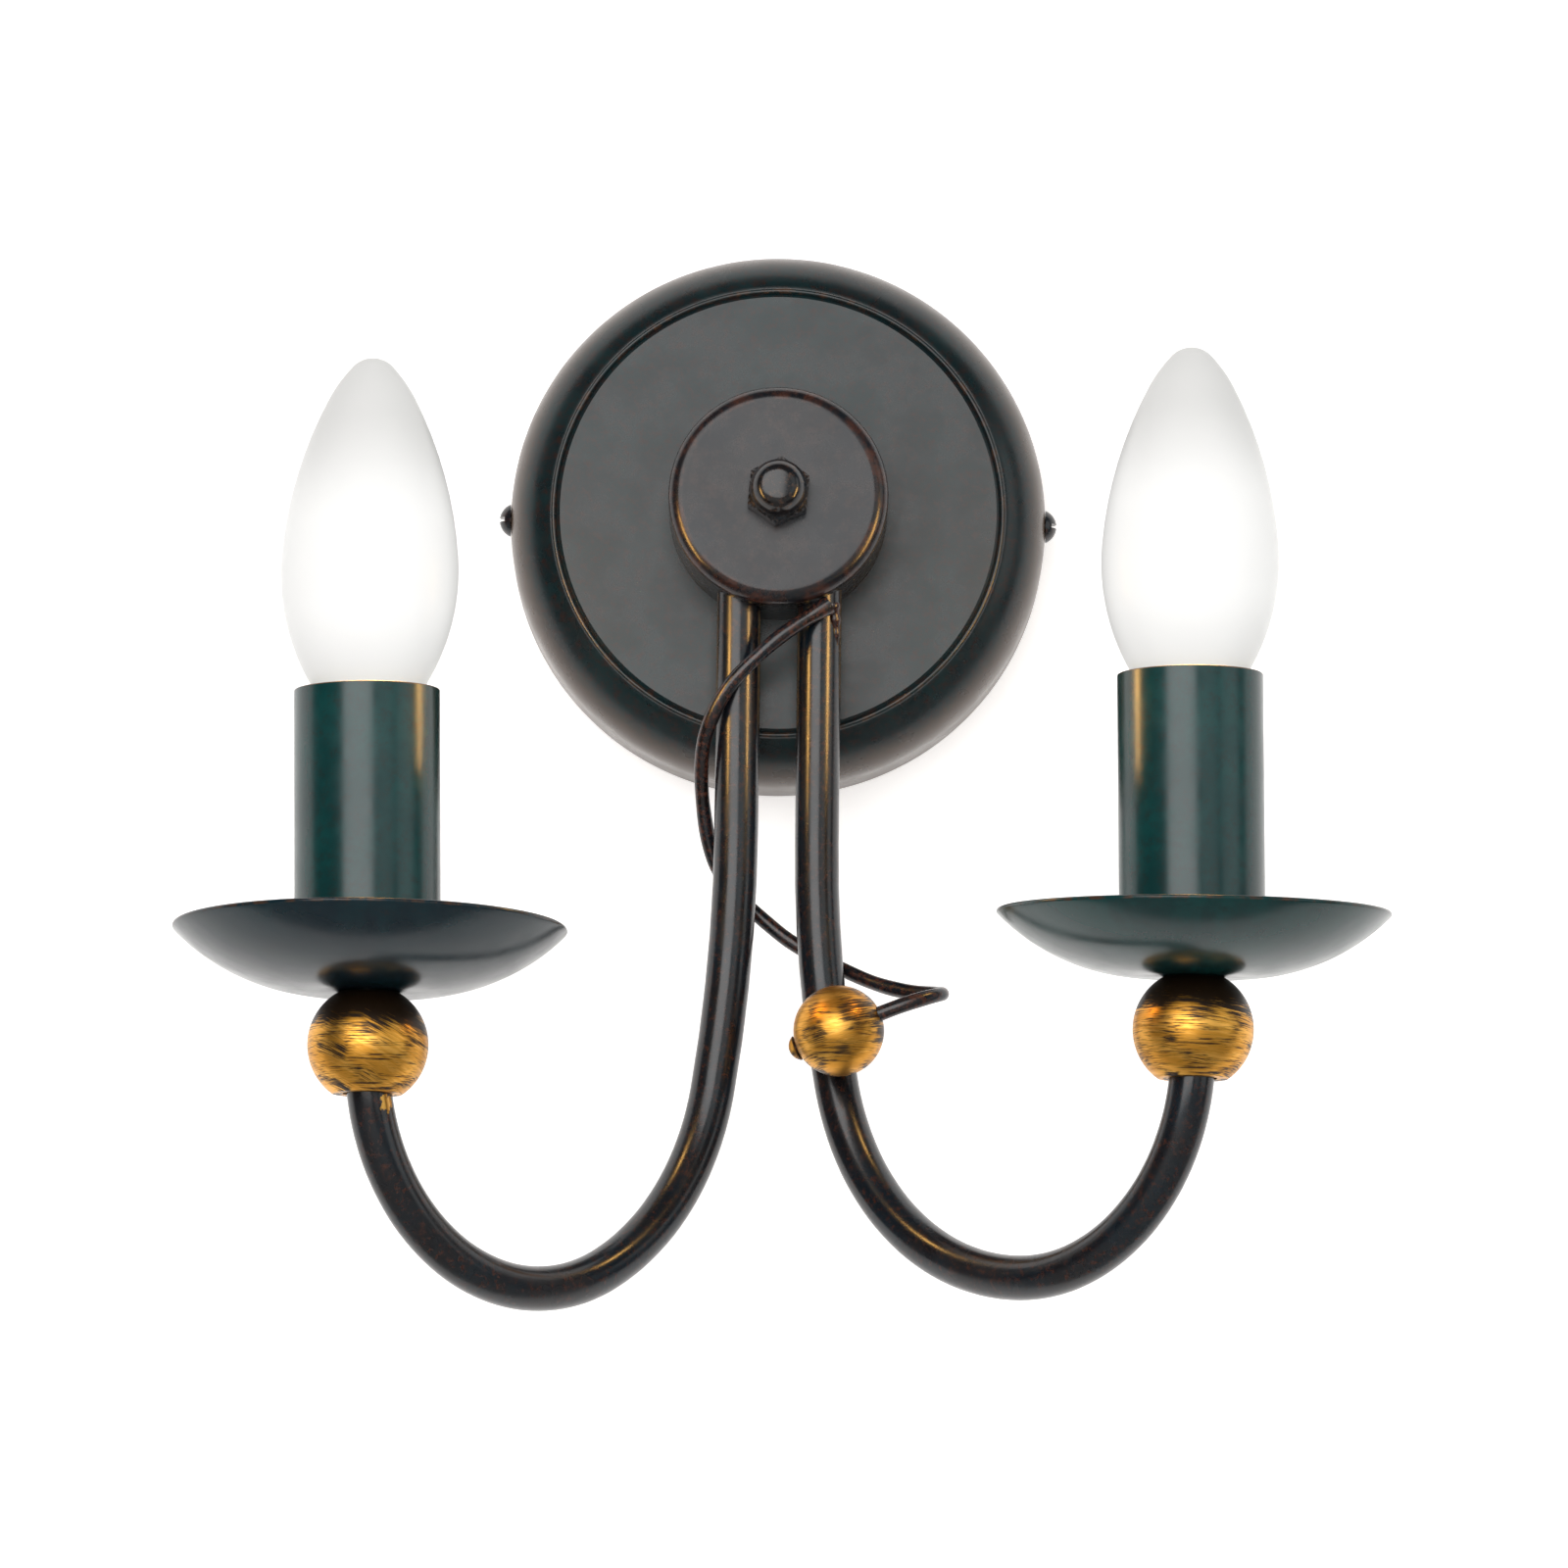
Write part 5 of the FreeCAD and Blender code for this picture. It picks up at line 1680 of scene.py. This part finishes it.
    def glass_marks(self, inset: float) -> list[Pair]:
        """Points of the bulb's outline, from its tip to its neck.

        Args:
            inset: distance inside the outer face.

        Returns:
            Points as (radius, height).
        """
        radius, heading = 0.0, 0.0
        for bend, degrees in self.bulb_bends:
            ahead = heading + math.radians(degrees)
            radius += bend * (math.sin(ahead) - math.sin(heading))
            heading = ahead
        neck = -(radius - self.bulb_neck) / (1 - math.sin(heading))
        bends = self.bulb_bends + ((neck, math.degrees(heading) - 90),)
        radius, height, heading = 0.0, self.bulb_tip - inset, 0.0
        marks = [(0.0, height)]
        for bend, degrees in bends:
            size, turn = bend - inset, math.copysign(math.radians(degrees), bend)
            count = max(4, math.ceil(abs(degrees) / GLASS_STEP))
            for k in range(1, count + 1):
                angle = heading + turn * k / count
                marks.append((radius + size * (math.sin(angle) - math.sin(heading)),
                              height - size * (math.cos(heading) - math.cos(angle))))
            radius, height = marks[-1]
            heading += turn
        return marks

    def build_glass(self) -> None:
        """Blow the bulb's glass, of even thickness and open at its neck.

        Its swell and its askew stand grow from nothing at the neck to their full
        amount at the sleeve's top.
        """
        foot = self.bulb_tip - self.glass_length
        hidden = self.sleeve_top - foot
        glass = Outline(0.0, self.bulb_tip)
        glass.points += self.glass_marks(0.0)[1:]
        glass.line(self.bulb_neck, foot).line(self.bulb_neck - self.glass, foot)
        glass.points += self.glass_marks(self.glass)[::-1]
        glass.points = [(radius * (1 + self.swell * min((height - foot) / hidden, 1.0)), height)
                        for radius, height in glass.points]
        blown = turned(self.name("frosted_glass"), glass, 128)
        across, up = self.askew
        for vertex in blown.data.vertices:
            share = min((vertex.co.z / MM - foot) / hidden, 1.0)
            vertex.co += Vector((across, 0.0, up)) * MM * share
        piece = put(blown, self.place(), self.name("bulb"), FROSTED, self.name("bulb_glass"))
        piece.visible_shadow = False
        piece.visible_glossy = False

    def build(self) -> None:
        """Build the candle from the ball up."""
        self.build_ball()
        self.build_dish()
        self.build_sleeve()
        self.build_glass()


@dataclass
class CurledRod:
    """Thin forged rod, welded under the hub, curled round both legs to its gold ball.

    Attributes:
        radius: radius of the rod.
        melted: how much thicker the rod is at the weld, and the share of its length there.
        hammering: size, pace and start of each wave of its uneven thickness.
        ball_radius: radius of its ball.
        play: play between the ball and the rod or its head.
        ball: centre of the ball.
        end: where the rod's end leaves the ball.
        marks: points near its route, as (x, depth, z).
        weld_radius: radius of the weld's run at its top.
        weld_taper: share by which the run is thinner at its foot.
        weld_lumps: size and pace of its lumps.
        weld_marks: points near the weld's run.
        drop: foot of the weld's last drop.
        drop_radius: radius of that drop.
        drop_lift: height of its centre above its foot.
        head: radius and height of the low head on the rod's end, and the level of the
            centre of its round top.
    """

    radius: float = 1.5
    melted: Pair = (0.35, 0.03)
    hammering: tuple[Place, ...] = ((0.03, 38.0, 0.0), (0.02, 91.0, 1.0))
    ball_radius: float = 9.2
    play: float = 0.1
    ball: Vector = field(default_factory=lambda: at(13.5, 58.2, -110.8))
    end: Vector = field(default_factory=lambda: at(4.6, 55.9, -114.4))
    marks: tuple[Place, ...] = (
        (10.5, 48.0, -22.2), (7.6, 48.8, -24.2), (3.5, 49.2, -26.9), (-0.1, 49.3, -29.6),
        (-4.5, 49.2, -33.7), (-8.8, 48.6, -37.9), (-11.8, 47.6, -42.6), (-13.7, 46.0, -46.8),
        (-15.0, 44.0, -51.0), (-15.2, 40.5, -58.2), (-14.3, 37.5, -65.9), (-12.5, 35.8, -74.7),
        (-7.6, 35.2, -80.7), (-2.8, 35.2, -85.1), (0.4, 35.3, -87.7), (3.3, 35.5, -90.1),
        (9.4, 36.0, -93.5), (14.7, 37.5, -96.1), (20.0, 40.5, -98.9), (26.5, 45.8, -101.3),
        (32.5, 50.6, -102.2), (35.2, 55.2, -102.6), (33.0, 59.2, -103.4), (27.5, 61.0, -105.2),
        (21.5, 60.4, -107.5), (13.5, 58.2, -110.8), (4.9, 56.0, -114.3))
    weld_radius: float = 1.7
    weld_taper: float = 0.8
    weld_lumps: Pair = (0.12, 19.0)
    weld_marks: tuple[Place, ...] = (
        (11.2, 45.6, -21.6), (11.6, 45.4, -23.2), (12.0, 44.9, -25.2), (12.2, 44.6, -27.6),
        (12.3, 44.3, -30.0))
    drop: Place = (9.6, 47.9, -23.3)
    drop_radius: float = 0.9
    drop_lift: float = 0.1
    head: Place = (2.6, 1.6, -1.3)

    def across(self) -> Vector:
        """Direction of the rod through its ball, towards the hairpin."""
        return (self.ball - self.end).normalized()

    def build_rod(self) -> None:
        """Draw the rod along its smooth line, a little uneven in thickness."""
        line = smooth_line([at(*mark) for mark in self.marks], 12)

        def size(share: float) -> float:
            """Radius of the forged rod along its length, thicker at the weld.

            Args:
                share: share of the length from the weld.

            Returns:
                The radius there.
            """
            thicker, run = self.melted
            waves = sum(high * math.sin(pace * share + start)
                        for high, pace, start in self.hammering)
            return self.radius * (1 + thicker * max(1 - share / run, 0.0) + waves)

        put(swept("forged_rod", line, size, 32), IN_ROW_FRAME, FIXTURE, ROD_BRONZE, "curled_rod")

    def build_weld(self) -> None:
        """Run the weld down the tube's side, with the last drop of it beside."""
        line = smooth_line([at(*mark) for mark in self.weld_marks])

        def size(share: float) -> float:
            """Radius of the weld down its run.

            Args:
                share: share of the run from its top.

            Returns:
                The radius there.
            """
            high, pace = self.weld_lumps
            lumps = 1 + high * math.sin(pace * share)
            return self.weld_radius * (1 - self.weld_taper * share) * lumps

        put(swept("weld_run", line, size, 24), IN_ROW_FRAME, FIXTURE, WELD_BRONZE)
        radius, lift = self.drop_radius, self.drop_lift
        drop = Outline(0.0, lift - radius).round(radius, lift, 0.0, lift, 12)
        drop.round(0.0, lift + radius, 0.0, lift, 12)
        place = Matrix.Translation(at(*self.drop) * MM) @ ON_WALL
        put(turned("weld_drop", drop, 32), place, FIXTURE, WELD_BRONZE)

    def build_head(self) -> None:
        """Low head upset on the rod's end."""
        radius, height, centre = self.head
        head = Outline(0.0, 0.0).line(radius, 0.0, 0.1).round(0.0, height, 0.0, centre, 8)
        turn = (-self.across()).to_track_quat("Z", "Y").to_matrix().to_4x4()
        foot = self.ball - self.across() * (self.ball_radius + self.play)
        put(turned("rod_end", head, 48), Matrix.Translation(foot * MM) @ turn, FIXTURE, GOLD)

    def build_ball(self) -> None:
        """Turn the small ball, bored for the rod."""
        bore = self.radius + self.play
        rim = math.sqrt(self.ball_radius ** 2 - bore ** 2)
        ball = Outline(bore, -rim).round(self.ball_radius, 0, 0, 0, 4).round(bore, rim, 0, 0, 4)
        piece = turned("rod_gold_ball", ball, 96)
        piece.data.transform(self.across().to_track_quat("Z", "Y").to_matrix().to_4x4())
        put(piece, Matrix.Translation(self.ball * MM), FIXTURE, ROD_GOLD, "rod_ball")

    def build(self) -> None:
        """Build the rod, its head and its ball."""
        self.build_rod()
        self.build_weld()
        self.build_head()
        self.build_ball()


@dataclass
class InnerFittings:
    """CAD nodes that stay as they are and take a worked finish.

    Attributes:
        frame: the loaded frame.
        crease: an edge sharper than this many degrees stays sharp.
    """

    frame: dict
    crease: float = 28.0

    def dress(self) -> None:
        """Give every CAD node the finish of its material slot."""
        finishes = {finish.slot: finish for finish in SLOT_FINISHES}
        for name, node in sorted(self.frame["nodes"].items()):
            given = [slot.material.name.split(".")[0] for slot in node.material_slots
                     if slot.material]
            finish = finishes.get(given[0] if given else "", ARM_BRONZE)
            finish.put_on(node)
            node.data.shade_smooth()
            node.data.set_sharp_from_angle(angle=math.radians(self.crease))
            log.info("%s: %s", name, finish.title)


# ---- studio -----------------------------------------------------------------------
# where the lamps point, in metres
MIDDLE = Vector((0.0, -0.06, -0.06))


@dataclass(frozen=True)
class Softbox:
    """Large soft lamp that points at the sconce.

    Attributes:
        name: the lamp's name.
        place: where it stands, in metres.
        size: width and height, in metres.
        brightness: brightness of its face, where 1 is a white wall.
        tint: colour of its light.
    """

    name: str
    place: Place
    size: Pair
    brightness: float
    tint: Colour

    def build(self) -> None:
        """Hang the lamp."""
        lamp = bpy.data.lights.new(self.name, "AREA")
        lamp.shape = "RECTANGLE"
        lamp.size, lamp.size_y = self.size
        lamp.energy = self.brightness * math.pi * self.size[0] * self.size[1]
        lamp.color = self.tint
        box = bpy.data.objects.new(self.name, lamp)
        bpy.context.scene.collection.objects.link(box)
        box.location = self.place
        aim = MIDDLE - Vector(self.place)
        box.rotation_euler = aim.to_track_quat("-Z", "Y").to_euler()
        box.visible_camera = False


@dataclass(frozen=True)
class Backdrop:
    """Flat sheet of pale matt paint: the wall or the floor.

    Attributes:
        name: the sheet's name.
        corners: its corners, in metres.
        shade: colour of its paint.
        glow: light added for the camera and in reflections.
    """

    name: str
    corners: tuple[Place, ...]
    shade: Colour
    glow: Colour

    def material(self) -> Material:
        """Paint that keeps shadows, and is clear from behind.

        Returns:
            The material.
        """
        material = bpy.data.materials.new(self.name + " paint")
        material.use_nodes = True
        material.node_tree.nodes.clear()
        tree = Tree(material.node_tree)
        paint = tree.add("BsdfPrincipled")
        clouds = tree.noise(tree.place(), 3.0, detail=2.0, lumps=0.4)
        darker = tuple(part * 0.985 for part in self.shade)
        tree.fill(paint, Base_Color=tree.blend(clouds, self.shade, darker), Roughness=0.9,
                  Specular_IOR_Level=0.1)
        light = tree.add("Emission")
        rays = tree.add("LightPath").outputs
        seen = tree.math("MAXIMUM", rays["Is Camera Ray"], rays["Is Glossy Ray"])
        seen = tree.math("MAXIMUM", seen, rays["Is Transmission Ray"])
        tree.fill(light, Color=self.glow, Strength=seen)
        both = tree.add("AddShader")
        tree.feed(both.inputs[0], paint.outputs[0])
        tree.feed(both.inputs[1], light.outputs[0])
        clear = tree.add("BsdfTransparent")
        choice = tree.add("MixShader")
        behind = tree.add("NewGeometry").outputs["Backfacing"]
        for socket, value in zip(choice.inputs, (behind, both.outputs[0], clear.outputs[0])):
            tree.feed(socket, value)
        tree.feed(tree.add("OutputMaterial").inputs["Surface"], choice.outputs[0])
        return material

    def build(self) -> None:
        """Hang or lay the sheet and paint it."""
        mesh = bpy.data.meshes.new(self.name)
        mesh.from_pydata(self.corners, [], [tuple(range(len(self.corners)))])
        sheet = bpy.data.objects.new(self.name, mesh)
        bpy.context.scene.collection.objects.link(sheet)
        mesh.materials.append(self.material())
        sheet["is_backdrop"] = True


@dataclass
class Studio:
    """Camera, wall, floor and lamps.

    Attributes:
        eye: where the camera stands, in metres.
        turn: its turns about X, Y and Z, in degrees.
        lens: its focal length.
        sky: colour of the dim room round the studio.
        backdrops: the wall just behind the sconce and the floor below it.
        softboxes: the lamps.
        filament_lights: height above the ball's centre and radius of each warm light in a
            bulb, in millimetres, and its brightness.
        warm: colour of those lights.
    """

    eye: Place = (-0.000114, -2.283595, -0.352316)
    turn: Place = (97.46973, -0.67921, -0.13929)
    lens: float = 253.953
    sky: Colour = (0.09, 0.094, 0.095)
    backdrops: tuple[Backdrop, ...] = (
        Backdrop("wall", ((-2.5, 0.0006, -0.7), (2.5, 0.0006, -0.7), (2.5, 0.0006, 2.5),
                          (-2.5, 0.0006, 2.5)), (0.84, 0.84, 0.84), (0.62, 0.595, 0.58)),
        Backdrop("floor", ((-6.0, -6.0, -0.7), (6.0, -6.0, -0.7), (6.0, 4.0, -0.7),
                           (-6.0, 4.0, -0.7)), (0.52, 0.52, 0.51), (0.0, 0.0, 0.0)),
    )
    softboxes: tuple[Softbox, ...] = (
        Softbox("key_softbox", (-0.5, -2.0, 0.42), (1.7, 1.7), 4.15, (1.0, 0.99, 0.985)),
        Softbox("side_softbox", (2.0, -1.1, 0.3), (1.2, 1.6), 1.2, (0.95, 1.0, 1.0)),
        Softbox("fill_softbox", (1.02, -1.95, 0.3), (0.95, 1.5), 1.0, (0.95, 1.0, 1.0)),
    )
    filament_lights: tuple[Place, ...] = ((72.0, 8.0, 18.0), (90.0, 12.0, 23.0),
                                          (107.0, 10.5, 23.0))
    warm: Colour = (1.0, 0.55, 0.15)

    def build_world(self) -> None:
        """Light the room with a plain grey sky."""
        world = bpy.data.worlds.new("studio room")
        bpy.context.scene.world = world
        world.use_nodes = True
        sky = world.node_tree.nodes["Background"]
        sky.inputs["Color"].default_value = (*self.sky, 1.0)
        sky.inputs["Strength"].default_value = 1.0

    def build_camera(self) -> None:
        """Stand the camera where the photograph was taken."""
        lens = bpy.data.cameras.new("camera")
        lens.lens = self.lens
        lens.clip_end = 50.0
        camera = bpy.data.objects.new("camera", lens)
        bpy.context.scene.collection.objects.link(camera)
        camera.location = self.eye
        camera.rotation_euler = [math.radians(angle) for angle in self.turn]
        bpy.context.scene.camera = camera

    def light_bulb(self, candle: Candle, frame: dict) -> None:
        """Hang the warm lights of a lit bulb inside its glass.

        Args:
            candle: the candle whose bulb is lit.
            frame: the loaded frame.
        """
        for level, reach, brightness in self.filament_lights:
            lamp = bpy.data.lights.new("bulb_glow", "POINT")
            lamp.shadow_soft_size = reach * MM
            lamp.use_soft_falloff = False
            lamp.color = self.warm
            lamp.energy = brightness * 4 * math.pi ** 2 * (reach * MM) ** 2
            glow = bpy.data.objects.new("bulb_glow", lamp)
            bpy.context.scene.collection.objects.link(glow)
            glow.location = (candle.arm.centre() + Vector((0, 0, level))) * MM
            glow.visible_camera = False
            glow.visible_diffuse = False
            glow.parent = frame["bodies"][candle.name("bulb")]

    def build(self) -> None:
        """Build the whole studio."""
        self.build_camera()
        for backdrop in self.backdrops:
            backdrop.build()
        self.build_world()
        for softbox in self.softboxes:
            softbox.build()
        bpy.context.scene.view_settings.view_transform = "Standard"
        log.info("studio: camera, wall, floor and %d softboxes", len(self.softboxes))


def corners(box: Sequence[Vector]) -> list[list[float]]:
    """Lowest and highest corner as plain lists of numbers."""
    return [[float(value) for value in corner] for corner in box]


def main() -> None:
    """Load the frame, build every sub-assembly in order and work out the bounds of the CAD model
    and of the finished scene.
    """
    logging.basicConfig(level=logging.INFO, format="%(name)s %(message)s")
    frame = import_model()
    cad_box = corners(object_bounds())
    studio = Studio()
    studio.build()
    InnerFittings(frame).dress()
    WallPlate().build()
    hub = Hub()
    hub.build_drum()
    hub.build_nut()
    left = Arm(Side.LEFT, leg_x=-7.8, leg_length=46.0, rise=2.4, finish=LEFT_ARM_BRONZE,
               bends=((260.0, 12.0), (57.0, 49.5), (43.0, 118.5)))
    right = Arm(Side.RIGHT, leg_x=8.7, leg_length=49.0, rise=4.6,
                bends=((202.0, 14.5), (54.5, 72.5), (42.5, 93.0)))
    candles = (Candle(left, tilt=-1.7, lean=1.1, askew=(-1.2, 1.2), dish_finish=DISH_BRONZE,
                      ball_finish=GOLD),
               Candle(right, tilt=2.2, lean=0.9, askew=(-1.25, 0.2), dish_finish=DISH_TEAL,
                      ball_finish=LEVEL_GOLD))
    for candle in candles:
        candle.arm.build()
        candle.build()
        studio.light_bulb(candle, frame)
    CurledRod().build()
    {"cad": cad_box, "visual": corners(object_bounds())}


if __name__ == "__main__":
    main()
